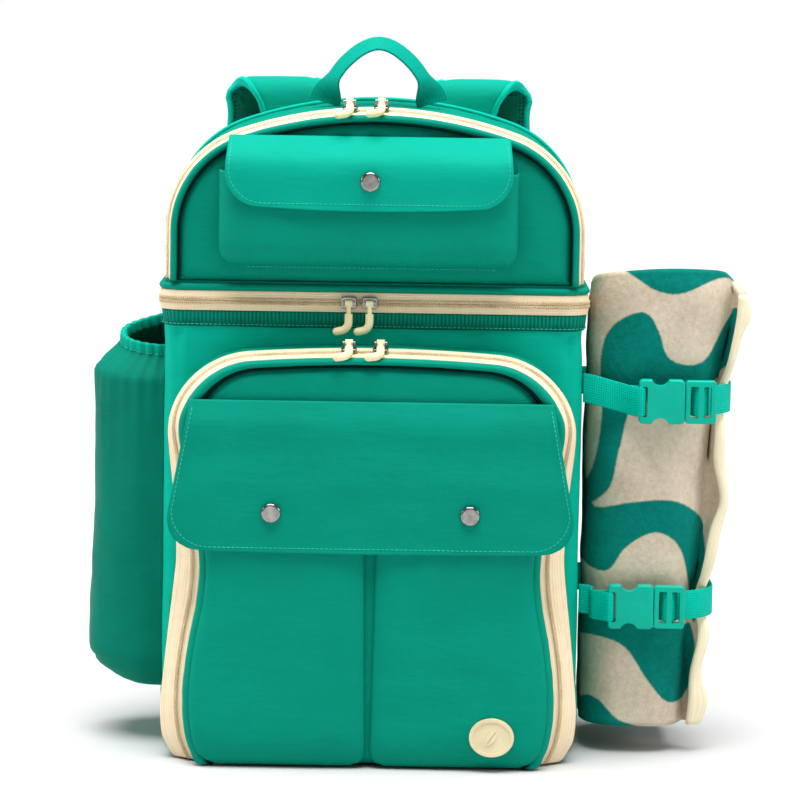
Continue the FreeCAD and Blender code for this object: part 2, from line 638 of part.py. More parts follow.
def buckle_clip(height, left):
    """The male half: two sprung prongs, a centre guide and a two-slot webbing frame."""
    x0 = left + SOCKET_LONG + FIT
    length = CLIP_LONG
    half = CLIP_HALF
    back = BUCKLE_BACK
    front = back - BUCKLE_DEEP
    frame = soften(box(x0, x0 + length, front + 1.2, back, height - half, height + half), 2.4, Y_AXIS)
    front_edges = [e for e in frame.Edges if e.BoundBox.YMax < front + 1.21]
    frame = frame.makeFillet(0.9, front_edges)
    reach = STRAP_WIDTH / 2 + 0.8
    for start in CLIP_SLOTS:
        slot = box(x0 + start, x0 + start + CLIP_SLOT, front - 5, back + 5, height - reach,
                   height + reach)
        frame = frame.cut(soften(slot, 1.0, Y_AXIS))
    y0, y1 = front + 2.2, back - 2.2
    guide = box(x0 - 13, x0 + 1, y0 + 0.6, y1 - 0.6, height - 1.3, height + 1.3)
    prongs = []
    for side in (-1, 1):
        z_in, z_out = sorted((height + side * 5.6, height + side * 8.6))
        prongs.append(soften(box(x0 - 17, x0 + 1, y0, y1, z_in, z_out), 1.2, Y_AXIS))
    return frame.fuse([guide] + prongs).removeSplitter()


def blanket_straps():
    export("blanket_straps", *[strap_loop(height, left) for height, left in STRAPS.values()])
    export("buckle_sockets", *[buckle_socket(height, left) for height, left in STRAPS.values()])
    for name, (height, left) in STRAPS.items():
        export(f"buckle_clip_{name}", buckle_clip(height, left))


# ---- shoulder straps ----------------------------------------------------------------------------
PAD = 10.0
STRAP_BACK = BODY_BACK + 30.0
STRAP_IN = 44.0
STRAP_OUT = 104.0
STRAP_TOP = 456.0
STRAP_SEAM = 405.0         # where the upper halves are sewn to the bag
UPPER_END = 325.0          # where the upper halves end behind the bag
LOWER_START = 266.0        # where the lower halves start
LOWER_X = 76.0
LOWER_HALF = 27.0
LOCK_HEIGHT = 150.0
LOCK_X = 92.0
LOCK_HALF = (16.0, 13.0)   # half its width and height
TAB_X = 118.0              # the webbing's sewn tab at the bag's bottom corner


def slanted_plate(x_top, x_low, half, y0, y1, z_top, z_low):
    corners = [V(x_top - half, y0, z_top), V(x_top + half, y0, z_top),
               V(x_low + half, y0, z_low), V(x_low - half, y0, z_low)]
    return Part.Face(Part.makePolygon(corners + corners[:1])).extrude(V(0, y1 - y0, 0))


def ladder_lock(x):
    y0 = STRAP_BACK - 7.0
    wide, tall = LOCK_HALF
    slot_half = wide - 3.2
    frame = soften(box(x - wide, x + wide, y0, y0 + 5, LOCK_HEIGHT - tall, LOCK_HEIGHT + tall), 3,
                   Y_AXIS)
    for low in (-9.5, 2.5):
        slot = box(x - slot_half, x + slot_half, y0 - 5, y0 + 10, LOCK_HEIGHT + low,
                   LOCK_HEIGHT + low + 6)
        frame = frame.cut(soften(slot, 1.5, Y_AXIS))
    return frame


def lower_webbing(sign):
    """25 mm webbing from the ladder lock down to the bag's bottom corner."""
    top = V(sign * LOCK_X, STRAP_BACK - 9.5, LOCK_HEIGHT)
    low = V(sign * TAB_X, BODY_BACK + 0.5, 30)
    across = X_AXIS * 12.5
    through = V(0, WEBBING, 0)
    corners = [top - across, top + across, low + across, low - across]
    return Part.Face(Part.makePolygon(corners + corners[:1])).extrude(through)


def shoulder_straps():
    upper = []
    inner_y = BODY_BACK + 0.3
    outer_y = STRAP_BACK
    radius = (outer_y - inner_y) / 2
    centre_y = inner_y + radius
    turn_z = STRAP_TOP - radius

    def hook(r, low):
        """A tall shape with a round top."""
        arc = Part.Arc(V(0, centre_y - r, turn_z), V(0, centre_y, turn_z + r),
                       V(0, centre_y + r, turn_z)).toShape()
        corners = [V(0, centre_y + r, turn_z), V(0, centre_y + r, low), V(0, centre_y - r, low),
                   V(0, centre_y - r, turn_z)]
        return Part.Face(Part.Wire([arc] + Part.makePolygon(corners).Edges))

    outline = hook(radius, UPPER_END).cut(hook(radius - PAD, UPPER_END - PAD))
    for sign in (-1, 1):
        x0, x1 = sorted((sign * STRAP_IN, sign * STRAP_OUT))
        strap = outline.extrude(V(x1 - x0, 0, 0))
        strap.translate(V(x0, 0, 0))
        strap = strap.cut(box(-200, 200, inner_y - 1, centre_y - 1, 0, STRAP_SEAM))
        upper.append(strap)
    export("strap_uppers", *upper)
    low = LOCK_HEIGHT + LOCK_HALF[1] + 2.5
    export("strap_lowers", *[slanted_plate(sign * LOWER_X, sign * LOCK_X, LOWER_HALF,
                                           STRAP_BACK - PAD, STRAP_BACK, LOWER_START, low)
                             for sign in (-1, 1)])
    for name, sign in (("right", -1), ("left", 1)):
        export(f"ladder_lock_{name}", ladder_lock(sign * LOCK_X))
    tabs = [slanted_plate(sign * TAB_X, sign * (TAB_X + 4), 15, BODY_BACK + 0.1, BODY_BACK + 2.1,
                          48, 12) for sign in (-1, 1)]
    export("adjuster_webbing", lower_webbing(-1).fuse(tabs[0]), lower_webbing(1).fuse(tabs[1]))


os.makedirs("parts", exist_ok=True)
cooler_compartment()
pocket_surround()
bottle_sleeve()
front_pocket()
top_compartment()
handle()
top_front()
zip_hardware()
blanket()
blanket_straps()
shoulder_straps()
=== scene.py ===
import json
import math
from collections import namedtuple

import bmesh
import bpy
from mathutils import Matrix, Vector, noise
from mathutils.bvhtree import BVHTree


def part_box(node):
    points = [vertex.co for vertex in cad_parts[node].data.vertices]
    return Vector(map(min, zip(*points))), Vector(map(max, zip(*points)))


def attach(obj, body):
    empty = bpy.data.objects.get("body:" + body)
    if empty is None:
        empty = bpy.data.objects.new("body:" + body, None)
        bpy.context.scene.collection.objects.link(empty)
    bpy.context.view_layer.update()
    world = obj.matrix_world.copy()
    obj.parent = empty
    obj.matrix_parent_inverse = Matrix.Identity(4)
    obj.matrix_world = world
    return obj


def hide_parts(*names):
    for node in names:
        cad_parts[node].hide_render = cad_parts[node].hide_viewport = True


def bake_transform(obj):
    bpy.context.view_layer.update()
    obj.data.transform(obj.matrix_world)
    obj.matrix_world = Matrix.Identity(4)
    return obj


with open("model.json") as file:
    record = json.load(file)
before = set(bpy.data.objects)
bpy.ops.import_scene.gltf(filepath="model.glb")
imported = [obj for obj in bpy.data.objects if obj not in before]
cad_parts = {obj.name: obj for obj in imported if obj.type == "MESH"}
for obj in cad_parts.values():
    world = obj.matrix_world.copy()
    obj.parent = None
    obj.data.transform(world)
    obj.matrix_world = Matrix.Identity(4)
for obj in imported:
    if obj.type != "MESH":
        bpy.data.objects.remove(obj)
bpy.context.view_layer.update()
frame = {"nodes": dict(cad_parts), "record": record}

# Insulated picnic backpack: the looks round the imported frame. Metres, +Z up, the front pocket faces
# -Y, the wearer's back is on +Y. Every place comes from the frame's boxes.

MM = 0.001
HAIR = 1e-6                # too small a length to matter
X_AXIS = Vector((1, 0, 0))
Y_AXIS = Vector((0, 1, 0))
Z_AXIS = Vector((0, 0, 1))
SIDES = ((-1, "right"), (1, "left"))       # the wearer's sides, by the sign of x


# ---- places read from the frame -----------------------------------------------------------------
def low(node):
    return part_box(node)[0]


def high(node):
    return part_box(node)[1]


Arch = namedtuple("Arch", "half top top_radius corner_radius bottom flare")
TOP = Arch(high("top_gusset").x, high("top_gusset").z, 0.283, 0.072, low("top_gusset").z, 0.0)
POCKET = Arch(high("pocket_gusset").x, high("pocket_gusset").z, 1.070, 0.060,
              low("pocket_gusset").z, 0.7)

BODY_HALF = high("left_side_panel").x
BODY_FRONT = low("front_wall").y
BODY_BACK = high("back_panel").y
BODY_CORNER = 0.014
BODY_LOW = low("base_panel").z
BODY_TOP = high("front_wall").z
ZIP_LEVEL = (high("band_zip_lower").z + low("band_zip_upper").z) / 2
TAPE = 0.0011              # thickness of zip tape and thin webbing
CLOTH = 0.0016             # thickness of a lined fabric sheet
ZIP_INSET = 0.0023         # how far the arched zips are set in at their teeth
RIM_INSET = (0.0045, 0.0086)
PANEL_INSET = 0.0096


# ---- meshes -------------------------------------------------------------------------------------
def add_mesh(name, verts, faces, uvs=None):
    mesh = bpy.data.meshes.new(name)
    mesh.from_pydata([tuple(v) for v in verts], [], faces)
    if uvs:
        layer = mesh.uv_layers.new(name="cloth")
        for loop in mesh.loops:
            layer.data[loop.index].uv = uvs[loop.vertex_index]
    mesh.polygons.foreach_set("use_smooth", [True] * len(mesh.polygons))
    mesh.validate()
    obj = bpy.data.objects.new(name, mesh)
    bpy.context.scene.collection.objects.link(obj)
    return obj


def outward(obj):
    """Makes every face look outwards."""
    work = bmesh.new()
    work.from_mesh(obj.data)
    bmesh.ops.recalc_face_normals(work, faces=work.faces)
    work.to_mesh(obj.data)
    work.free()
    return obj


def applied(obj):
    """Turns the modifiers into mesh."""
    graph = bpy.context.evaluated_depsgraph_get()
    mesh = bpy.data.meshes.new_from_object(obj.evaluated_get(graph))
    obj.modifiers.clear()
    old = obj.data
    obj.data = mesh
    bpy.data.meshes.remove(old)
    return obj


def thicken(obj, thickness, offset=-1.0):
    solid = obj.modifiers.new("thickness", "SOLIDIFY")
    solid.thickness = thickness
    solid.offset = offset
    return applied(obj)


def smoothed(obj):
    rounding = obj.modifiers.new("rounding", "SUBSURF")
    rounding.levels = 1
    rounding.render_levels = 1
    return applied(obj)


def running_lengths(points):
    lengths = [0.0]
    for a, b in zip(points, points[1:]):
        lengths.append(lengths[-1] + (b - a).length)
    return lengths


def headings(line, closed=False):
    """The way that a line of points runs, at each of them."""
    last = len(line) - 1
    if closed:
        return [(line[(i + 1) % len(line)] - line[i - 1]).normalized() for i in range(len(line))]
    return [(line[min(i + 1, last)] - line[max(i - 1, 0)]).normalized() for i in range(len(line))]


def grid(name, rows):
    """A sheet through rows of points. Rows run along u, and follow each other along v."""
    wide = len(rows[0])
    u = running_lengths(rows[len(rows) // 2])
    v = running_lengths([row[wide // 2] for row in rows])
    uvs = [(u[i], v[j]) for j in range(len(rows)) for i in range(wide)]
    faces = [(j * wide + i, j * wide + i + 1, (j + 1) * wide + i + 1, (j + 1) * wide + i)
             for j in range(len(rows) - 1) for i in range(wide - 1)]
    return add_mesh(name, [p for row in rows for p in row], faces, uvs)


def sweep(name, stations, section, closed=False):
    """Carries a closed section along stations (origin, axis_a, axis_b). The section is a list of
    (a, b) pairs, or a function from the station's number to such a list."""
    sections = [section(i) if callable(section) else section for i in range(len(stations))]
    rings = [[origin + a * pa + b * pb for pa, pb in ring]
             for (origin, a, b), ring in zip(stations, sections)]
    around = len(rings[0])
    u = running_lengths([s[0] for s in stations])
    v = running_lengths([Vector((a, b, 0)) for a, b in sections[0]])
    verts = [p for ring in rings for p in ring]
    uvs = [(u[i], v[j]) for i in range(len(rings)) for j in range(around)]
    faces = []
    count = len(rings)
    for i in range(count if closed else count - 1):
        for j in range(around):
            k = (j + 1) % around
            n = (i + 1) % count
            faces.append((i * around + j, n * around + j, n * around + k, i * around + k))
    if not closed:
        faces.append(tuple(range(around)))
        faces.append(tuple((count - 1) * around + j for j in reversed(range(around))))
    return outward(add_mesh(name, verts, faces, uvs))


def rounded_section(width, height, radius, steps=3):
    """A closed rectangle with round corners, centred on the origin."""
    radius = min(radius, width / 2 - HAIR, height / 2 - HAIR)
    points = []
    for quarter, (sa, sb) in enumerate(((1, 1), (-1, 1), (-1, -1), (1, -1))):
        for i in range(steps + 1):
            angle = math.pi / 2 * (quarter + i / steps)
            points.append((sa * (width / 2 - radius) + radius * math.cos(angle),
                           sb * (height / 2 - radius) + radius * math.sin(angle)))
    return points


def oval_section(half_a, half_b, steps, shift_a, shift_b=0.0):
    return [(shift_a + half_a * math.cos(2 * math.pi * i / steps),
             shift_b + half_b * math.sin(2 * math.pi * i / steps)) for i in range(steps)]


def moved_section(section, a, b):
    return [(pa + a, pb + b) for pa, pb in section]


def ease(t):
    """0 to 1, smooth at both ends."""
    t = min(max(t, 0.0), 1.0)
    return t * t * (3 - 2 * t)


def bell(t):
    """1 at 0, fading away on both sides."""
    return math.exp(-t * t)


def wander(point, size, seed):
    """Smooth noise between about -1 and 1, with folds of this size."""
    return noise.noise(Vector(point) / size + Vector((seed, 0.37 * seed, 1.7 * seed)))


# ---- outlines -----------------------------------------------------------------------------------
def arch_stations(arch, step):
    """Evenly spaced places along an arched outline, from the foot on -X over the top to the foot on
    +X. Each is (origin, outward, forward): a ring set in by d lies d against outward."""
    corner_x = arch.half - arch.corner_radius
    centre_z = arch.top - arch.top_radius
    corner_z = centre_z + math.sqrt((arch.top_radius - arch.corner_radius) ** 2 - corner_x ** 2)
    lean = math.atan2(corner_x, corner_z - centre_z)
    side = corner_z - arch.bottom
    corner = arch.corner_radius * (math.pi / 2 - lean)
    crown = arch.top_radius * lean
    total = 2 * (side + corner + crown)
    count = max(int(total / step), 8)
    stations = []
    for i in range(count + 1):
        along = total * i / count
        sign = -1 if along < total / 2 else 1
        reach = along if sign < 0 else total - along
        if reach < side:
            x, z, angle = arch.half, arch.bottom + reach, math.pi / 2
        elif reach < side + corner:
            angle = math.pi / 2 - (reach - side) / arch.corner_radius
            x = corner_x + arch.corner_radius * math.sin(angle)
            z = corner_z + arch.corner_radius * math.cos(angle)
        else:
            angle = lean - (reach - side - corner) / arch.top_radius
            x = arch.top_radius * math.sin(angle)
            z = centre_z + arch.top_radius * math.cos(angle)
        flare = arch.flare * x / arch.half
        out = Vector((sign * (math.sin(angle) + flare), 0, math.cos(angle)))
        stations.append((Vector((sign * x, 0, z)), out, Y_AXIS))
    return stations


class Plan:
    """Places round a plan with round corners, at height 0, each (place, outward). turn is 1 when it
    runs anticlockwise seen from above and -1 when it runs clockwise."""

    def __init__(self, radius, step, least_straight, least_corner, turn):
        self.radius, self.step, self.turn = radius, step, turn
        self.least_straight, self.least_corner = least_straight, least_corner
        self.places = []

    def straight(self, x0, y0, x1, y1, out):
        count = max(int(math.hypot(x1 - x0, y1 - y0) / self.step), self.least_straight)
        for i in range(count):
            t = i / count
            self.places.append((Vector((x0 + (x1 - x0) * t, y0 + (y1 - y0) * t, 0)), out))

    def corner(self, x, y, start):
        count = max(int(self.radius * math.pi / 2 / self.step), self.least_corner)
        for i in range(count):
            angle = start + self.turn * math.pi / 2 * i / count
            out = Vector((math.cos(angle), math.sin(angle), 0))
            self.places.append((Vector((x, y, 0)) + out * self.radius, out))


def plan_stations(step, closed=False):
    """Places round the cooler compartment's plan, at height 0: (origin, outward, up). Open, it runs
    from the back of the -X side round the front to the back of the +X side."""
    r, half, front = BODY_CORNER, BODY_HALF, BODY_FRONT
    side_end = BODY_BACK - r if closed else high("band_zip_lower").y
    plan = Plan(r, step, 2, 5, 1)
    plan.straight(-half, side_end, -half, front + r, -X_AXIS)
    plan.corner(-half + r, front + r, math.pi)
    plan.straight(-half + r, front, half - r, front, -Y_AXIS)
    plan.corner(half - r, front + r, math.pi * 1.5)
    plan.straight(half, front + r, half, side_end, X_AXIS)
    if closed:
        plan.corner(half - r, side_end, 0.0)
        plan.straight(half - r, BODY_BACK, -half + r, BODY_BACK, Y_AXIS)
        plan.corner(-half + r, side_end, math.pi / 2)
    else:
        plan.places.append((Vector((half, side_end, 0)), X_AXIS))
    return [(p, out, Z_AXIS) for p, out in plan.places]


# ---- stitches and zip teeth ---------------------------------------------------------------------
THREAD_RADIUS = 0.00028
PRESS_START = 0.2          # how far off a point starts when it is pressed onto a piece


def beads(name, places, long, radius, sides=6):
    """Many small spindles: places are (centre, direction along it)."""
    verts, faces = [], []
    for centre, along in places:
        along = along.normalized()
        across = along.orthogonal().normalized()
        other = along.cross(across)
        base = len(verts)
        verts.append(centre - along * long / 2)
        for share in (-0.32, 0.32):
            for i in range(sides):
                angle = 2 * math.pi * i / sides
                verts.append(centre + along * long * share
                             + (across * math.cos(angle) + other * math.sin(angle)) * radius)
        verts.append(centre + along * long / 2)
        for i in range(sides):
            k = (i + 1) % sides
            faces.append((base, base + 1 + k, base + 1 + i))
            faces.append((base + 1 + i, base + 1 + k, base + 1 + sides + k, base + 1 + sides + i))
            faces.append((base + 1 + sides + i, base + 1 + sides + k, base + 1 + 2 * sides))
    return outward(add_mesh(name, verts, faces))


def spaced(points, pitch):
    """Places every pitch along a line of points: (point, direction)."""
    lengths = running_lengths(points)
    places = []
    at, i = pitch / 2, 0
    while at < lengths[-1] and i < len(points) - 1:
        while lengths[i + 1] < at:
            i += 1
        span = max(lengths[i + 1] - lengths[i], 1e-9)
        t = (at - lengths[i]) / span
        places.append((points[i].lerp(points[i + 1], t), (points[i + 1] - points[i]).normalized()))
        at += pitch
    return places


def tree_of(obj):
    """The shape of a piece, for pressing other things onto it."""
    verts = [v.co.copy() for v in obj.data.vertices]
    return BVHTree.FromPolygons(verts, [list(p.vertices) for p in obj.data.polygons])


def pressed(points, direction, tree, lift):
    """The points moved along direction until they rest on the tree, this far above it."""
    direction = direction.normalized()
    hits = []
    for p in points:
        hit, _, _, _ = tree.ray_cast(p - direction * PRESS_START, direction, PRESS_START * 3)
        if hit is not None:
            hits.append(hit - direction * lift)
    return hits


def stitches(name, points, body, direction=None, tree=None, pitch=0.0031, long=0.0024):
    """A row of stitches along the points, pressed onto a tree when there is one."""
    if tree is not None:
        dense = [centre for centre, _ in spaced(points, 0.002)]
        points = pressed(dense, direction, tree, THREAD_RADIUS * 0.4)
    row = beads(name, spaced(points, pitch), long, THREAD_RADIUS)
    dress(row, "thread", "teal_nylon", body)


# ---- materials ----------------------------------------------------------------------------------
class Look:
    """A material in the making. Values that are the same all over sit on the shader's own sockets."""

    def __init__(self, name, roughness=0.6, sheen=0.0, metallic=0.0, coat=0.0, soft=0.0, shine=0.05):
        self.material = bpy.data.materials.new(name)
        self.material.use_nodes = True
        self.tree = self.material.node_tree
        self.tree.nodes.clear()
        self.shader = self.node("ShaderNodeBsdfPrincipled")
        end = self.node("ShaderNodeOutputMaterial")
        self.tree.links.new(self.shader.outputs["BSDF"], end.inputs["Surface"])
        values = self.shader.inputs
        values["Roughness"].default_value = roughness
        values["Metallic"].default_value = metallic
        values["Sheen Weight"].default_value = sheen
        values["Sheen Roughness"].default_value = 0.45
        values["Sheen Tint"].default_value = (0.02, 0.80, 0.66, 1.0)
        values["Specular IOR Level"].default_value = shine
        values["Coat Weight"].default_value = coat
        values["Coat Roughness"].default_value = 0.25
        values["Subsurface Weight"].default_value = soft
        values["Subsurface Scale"].default_value = 0.002
        self.place = self.node("ShaderNodeTexCoord")

    def node(self, kind, inputs=None, **settings):
        made = self.tree.nodes.new(kind)
        for key, value in settings.items():
            setattr(made, key, value)
        for key, value in (inputs or {}).items():
            self.set(made.inputs[key], value)
        return made

    def set(self, socket, value):
        if isinstance(value, bpy.types.NodeSocket):
            self.tree.links.new(value, socket)
        else:
            socket.default_value = value

    def stretched(self, scale):
        """The object's coordinates, scaled along each axis."""
        mapping = self.node("ShaderNodeMapping", {"Vector": self.place.outputs["Object"],
                                                  "Scale": scale})
        return mapping.outputs["Vector"]

    def noise(self, scale, detail=3.0, source=None, roughness=0.5):
        return self.node("ShaderNodeTexNoise", {
            "Vector": source or self.place.outputs["Object"], "Scale": scale, "Detail": detail,
            "Roughness": roughness}).outputs["Fac"]

    def bands(self, period, direction, source=None, distortion=0.0):
        """Ridges this far apart, in metres."""
        length = 0.62832 if direction == "DIAGONAL" else 0.31416
        return self.node("ShaderNodeTexWave", {
            "Vector": source or self.place.outputs["Object"], "Scale": length / period,
            "Distortion": distortion, "Detail": 1.0}, wave_type="BANDS",
            bands_direction=direction).outputs["Fac"]

    def spread(self, value, lowest, highest):
        """A value from 0 to 1, moved into this range."""
        return self.node("ShaderNodeMapRange", {
            "Value": value, "To Min": lowest, "To Max": highest}).outputs["Result"]

    def sum(self, a, b, operation="ADD"):
        return self.node("ShaderNodeMath", {0: a, 1: b}, operation=operation).outputs["Value"]

    def ramp(self, fac, stops):
        made = self.node("ShaderNodeValToRGB", {"Fac": fac})
        while len(made.color_ramp.elements) < len(stops):
            made.color_ramp.elements.new(0.5)
        for element, (place, colour) in zip(made.color_ramp.elements, stops):
            element.position = place
            element.color = (*colour, 1)
        return made.outputs["Color"]

    def blend(self, fac, a, b):
        made = self.node("ShaderNodeMix", data_type="RGBA")
        self.set(made.inputs["Factor"], fac)
        self.set(made.inputs["A"], a)
        self.set(made.inputs["B"], b)
        return made.outputs["Result"]

    def bumps(self, *heights):
        """Stacks bumps: (height socket, depth in metres, strength)."""
        normal = None
        for height, depth, strength in heights:
            made = self.node("ShaderNodeBump", {"Height": height, "Distance": depth,
                                                "Strength": strength})
            if normal is not None:
                self.set(made.inputs["Normal"], normal)
            normal = made.outputs["Normal"]
        self.set(self.shader.inputs["Normal"], normal)

    def colour(self, socket):
        self.set(self.shader.inputs["Base Color"], socket)

    def roughness(self, socket):
        self.set(self.shader.inputs["Roughness"], socket)


def linear(red, green, blue):
    """From the values seen on a screen, 0 to 255, to the renderer's own."""
    def one(v):
        v /= 255
        return v / 12.92 if v <= 0.04045 else ((v + 0.055) / 1.055) ** 2.4
    return (one(red), one(green), one(blue))


CLOTH_SHEEN = 0.03
WEAVE_PITCH = 0.0011       # spacing of the nylon's threads


def nylon(name, light, dark):
    """Coated oxford nylon: a fine diagonal weave, a soft satin light and faint creases."""
    look = Look(name, sheen=CLOTH_SHEEN)
    warp = look.bands(WEAVE_PITCH, "DIAGONAL")
    weft = look.bands(WEAVE_PITCH, "DIAGONAL", look.stretched((-1, 1, 1)))
    weave = look.sum(warp, weft, "MULTIPLY")
    cloudy = look.noise(14.0, 4.0)
    mottled = look.noise(420.0, 2.0)
    tone = look.sum(look.sum(weave, 0.35, "MULTIPLY"), look.sum(cloudy, 0.65, "MULTIPLY"))
    look.colour(look.ramp(tone, [(0.2, dark), (0.62, light)]))
    look.roughness(look.spread(mottled, 0.50, 0.64))
    creases = look.noise(22.0, 4.0, look.stretched((1.0, 1.0, 3.4)), 0.55)
    look.bumps((look.noise(30.0, 3.0), 0.0020, 0.5), (creases, 0.0022, 0.5), (weave, 0.00022, 0.7))
    return look.material


def woven(name, light, dark, rib, cross, depth=0.0003):
    """Webbing, tape or binding: ribs across the length and a plain weave over them."""
    look = Look(name, 0.62, sheen=CLOTH_SHEEN)
    uv = look.place.outputs["UV"]
    ribs = look.bands(rib, "X", uv, 0.4)
    picks = look.bands(cross, "Y", uv, 0.4)
    weave = look.sum(ribs, picks, "MULTIPLY")
    tone = look.sum(weave, look.sum(look.noise(160.0, 2.0), 0.5, "MULTIPLY"))
    look.colour(look.ramp(tone, [(0.1, dark), (0.85, light)]))
    look.bumps((weave, depth, 0.7))
    return look.material


def moulded(name, light, dark, roughness, coat=0.0, soft=0.0):
    """Moulded plastic or rubber with a fine grain and patches here and there that are slightly glossier."""
    look = Look(name, roughness, coat=coat, soft=soft)
    cloudy = look.noise(60.0, 3.0)
    look.colour(look.ramp(cloudy, [(0.3, dark), (0.7, light)]))
    look.roughness(look.spread(look.noise(300.0, 2.0), roughness - 0.07, roughness + 0.08))
    look.bumps((look.noise(2600.0, 2.0), 0.00006, 0.5))
    return look.material


def nickel():
    look = Look("nickel_plate", 0.16, metallic=1.0)
    smudge = look.noise(220.0, 4.0)
    look.colour(look.ramp(smudge, [(0.3, (0.20, 0.19, 0.18)), (0.7, (0.40, 0.39, 0.37))]))
    look.roughness(look.spread(smudge, 0.10, 0.24))
    look.bumps((look.noise(900.0, 2.0), 0.00002, 0.3))
    return look.material


def spacer_mesh():
    """The dark open mesh that lies against the wearer."""
    look = Look("spacer_mesh", 0.8)
    cells = look.node("ShaderNodeTexVoronoi", {
        "Vector": look.place.outputs["Object"], "Scale": 360.0, "Randomness": 0.18},
        feature="DISTANCE_TO_EDGE").outputs["Distance"]
    # The cell middles, where the holes sink in, are coloured darker: the mesh's own dark colour, with painted
    # shade in its holes.
    look.colour(look.ramp(cells, [(0.10, linear(8, 108, 84)), (0.32, linear(2, 52, 40))]))
    holes = look.sum(1.0, cells, "SUBTRACT")
    look.bumps((holes, 0.0012, 0.9))
    return look.material


def liner_film():
    """Silvery wipe-clean film with fine crinkles."""
    look = Look("liner_film", 0.32, metallic=0.75)
    crinkle = look.node("ShaderNodeTexVoronoi", {
        "Vector": look.place.outputs["Object"], "Scale": 55.0}, feature="F2").outputs["Distance"]
    look.colour(look.ramp(look.noise(30.0, 3.0), [(0.3, (0.55, 0.56, 0.57)),
                                                  (0.7, (0.74, 0.75, 0.76))]))
    look.bumps((crinkle, 0.0012, 0.5), (look.noise(180.0, 3.0), 0.0003, 0.4))
    return look.material


def foam_look():
    look = Look("closed_cell_foam", 0.85)
    cells = look.node("ShaderNodeTexVoronoi", {
        "Vector": look.place.outputs["Object"], "Scale": 700.0}).outputs["Distance"]
    look.colour(look.ramp(look.noise(80.0, 3.0), [(0.3, (0.62, 0.63, 0.62)),
                                                  (0.7, (0.78, 0.78, 0.76))]))
    look.bumps((cells, 0.0004, 0.7))
    return look.material


def board_look():
    look = Look("base_board", 0.6)
    streaks = look.noise(50.0, 4.0, look.stretched((1, 9, 1)))
    look.colour(look.ramp(streaks, [(0.3, (0.02, 0.022, 0.022)), (0.7, (0.05, 0.052, 0.05))]))
    look.bumps((streaks, 0.0003, 0.4))
    return look.material


def grey(value):
    return (value, value, value)


def floor_look():
    look = Look("studio_floor", 0.9)
    look.colour(look.ramp(look.noise(3.0, 2.0), [(0.3, grey(0.58)), (0.7, grey(0.60))]))
    return look.material


TEAL = linear(0, 148, 125)
TEAL_DEEP = linear(0, 137, 114)
AQUA = linear(0, 200, 180)
CREAM = linear(255, 238, 206)
CREAM_DEEP = linear(236, 210, 172)
BUTTER = linear(252, 240, 196)
BUTTER_DEEP = linear(240, 224, 176)


def make_looks():
    return {
        "teal_nylon": nylon("teal_nylon", TEAL, TEAL_DEEP),
        "teal_webbing": woven("teal_webbing", linear(0, 204, 180), linear(0, 164, 142), 0.0016, 0.0021),
        "teal_webbing_wide": woven("teal_webbing_wide", linear(0, 168, 148), linear(0, 144, 124), 0.0013,
                                   0.0022, 0.00022),
        # A lighter copy of the teal nylon for pieces that face the light: painted light.
        "teal_nylon_painted_lit": nylon("painted_lit_teal_nylon", linear(0, 172, 148), linear(0, 158, 134)),
        # A still lighter copy for the cooler's walls: painted light in place of the shade under the lid's
        # overhang.
        "wall_nylon_painted_lit": nylon("painted_lit_wall_nylon", linear(0, 186, 160), linear(0, 172, 146)),
        # A darker copy of the teal nylon for the bottle sleeve, which stands back in the bag's shade: painted
        # shade.
        "teal_nylon_painted_shade": nylon("painted_shade_teal_nylon", linear(0, 130, 108), linear(0, 108, 88)),
        "teal_binding": woven("teal_binding", AQUA, linear(0, 165, 138), 0.0011, 0.0040),
        "grosgrain": woven("teal_grosgrain", linear(0, 142, 119), linear(0, 84, 68), 0.0026, 0.02,
                           0.0006),
        "teal_mesh": spacer_mesh(),
        "zip_tape": woven("cream_zip_tape", CREAM, CREAM_DEEP, 0.0010, 0.0016, 0.00018),
        "zip_coil": moulded("cream_zip_coil", linear(236, 214, 176), linear(200, 176, 138), 0.38),
        "liner_film": liner_film(),
        "foam": foam_look(),
        "base_board": board_look(),
        "buckle_plastic": moulded("teal_buckle_plastic", linear(0, 182, 158), linear(0, 170, 146),
                                  0.36, 0.15),
        "pull_rubber": moulded("butter_rubber", BUTTER, BUTTER_DEEP, 0.42, 0.1, 0.15),
        "nickel": nickel(),
        "badge_rubber": moulded("badge_rubber", linear(240, 226, 190), linear(226, 210, 170), 0.5,
                                0.0, 0.1),
        "blanket_edge": woven("cream_blanket_edge", linear(248, 238, 208), linear(236, 222, 188),
                              0.0012, 0.0025, 0.00008),
        "thread": moulded("sewing_thread", linear(76, 200, 176), linear(48, 180, 156), 0.6),
        # Near-black nylon for the cord in the groove inside each piped rim: painted shadow.
        "seam_shadow": nylon("painted_seam_shadow_nylon", linear(0, 34, 28), linear(0, 22, 18)),
        # Dark nylon for the base under the bag: painted shade.
        "base_painted_shade": nylon("painted_shade_base_nylon", linear(0, 76, 62), linear(0, 58, 46)),
    }


LOOKS = make_looks()


def dress(obj, look, slot, body, *nodes):
    """Gives a piece its material and its body, and hides the CAD nodes that it stands for. slot is not used.
    """
    material = LOOKS[look] if isinstance(look, str) else look
    obj.data.materials.clear()
    obj.data.materials.append(material)
    if body:
        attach(obj, body)
    if nodes:
        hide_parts(*nodes)
    return obj


def swept(name, stations, section, look, slot, body, *nodes):
    """A sweep that is dressed at once."""
    return dress(sweep(name, stations, section), look, slot, body, *nodes)


def finish_nodes():
    """Carried-over CAD nodes take the material of their slot."""
    for part in frame["record"]["subparts"]:
        obj = frame["nodes"][part["node"]]
        look = LOOKS.get(part["material_slot"])
        if look is not None:
            obj.data.materials.clear()
            obj.data.materials.append(look)


# ---- camera, light and floor --------------------------------------------------------------------
ROOM_LIGHT = 0.26          # how strongly the white surroundings light the object
FLOOR_LEVEL = -0.0004      # just under the bag's foot


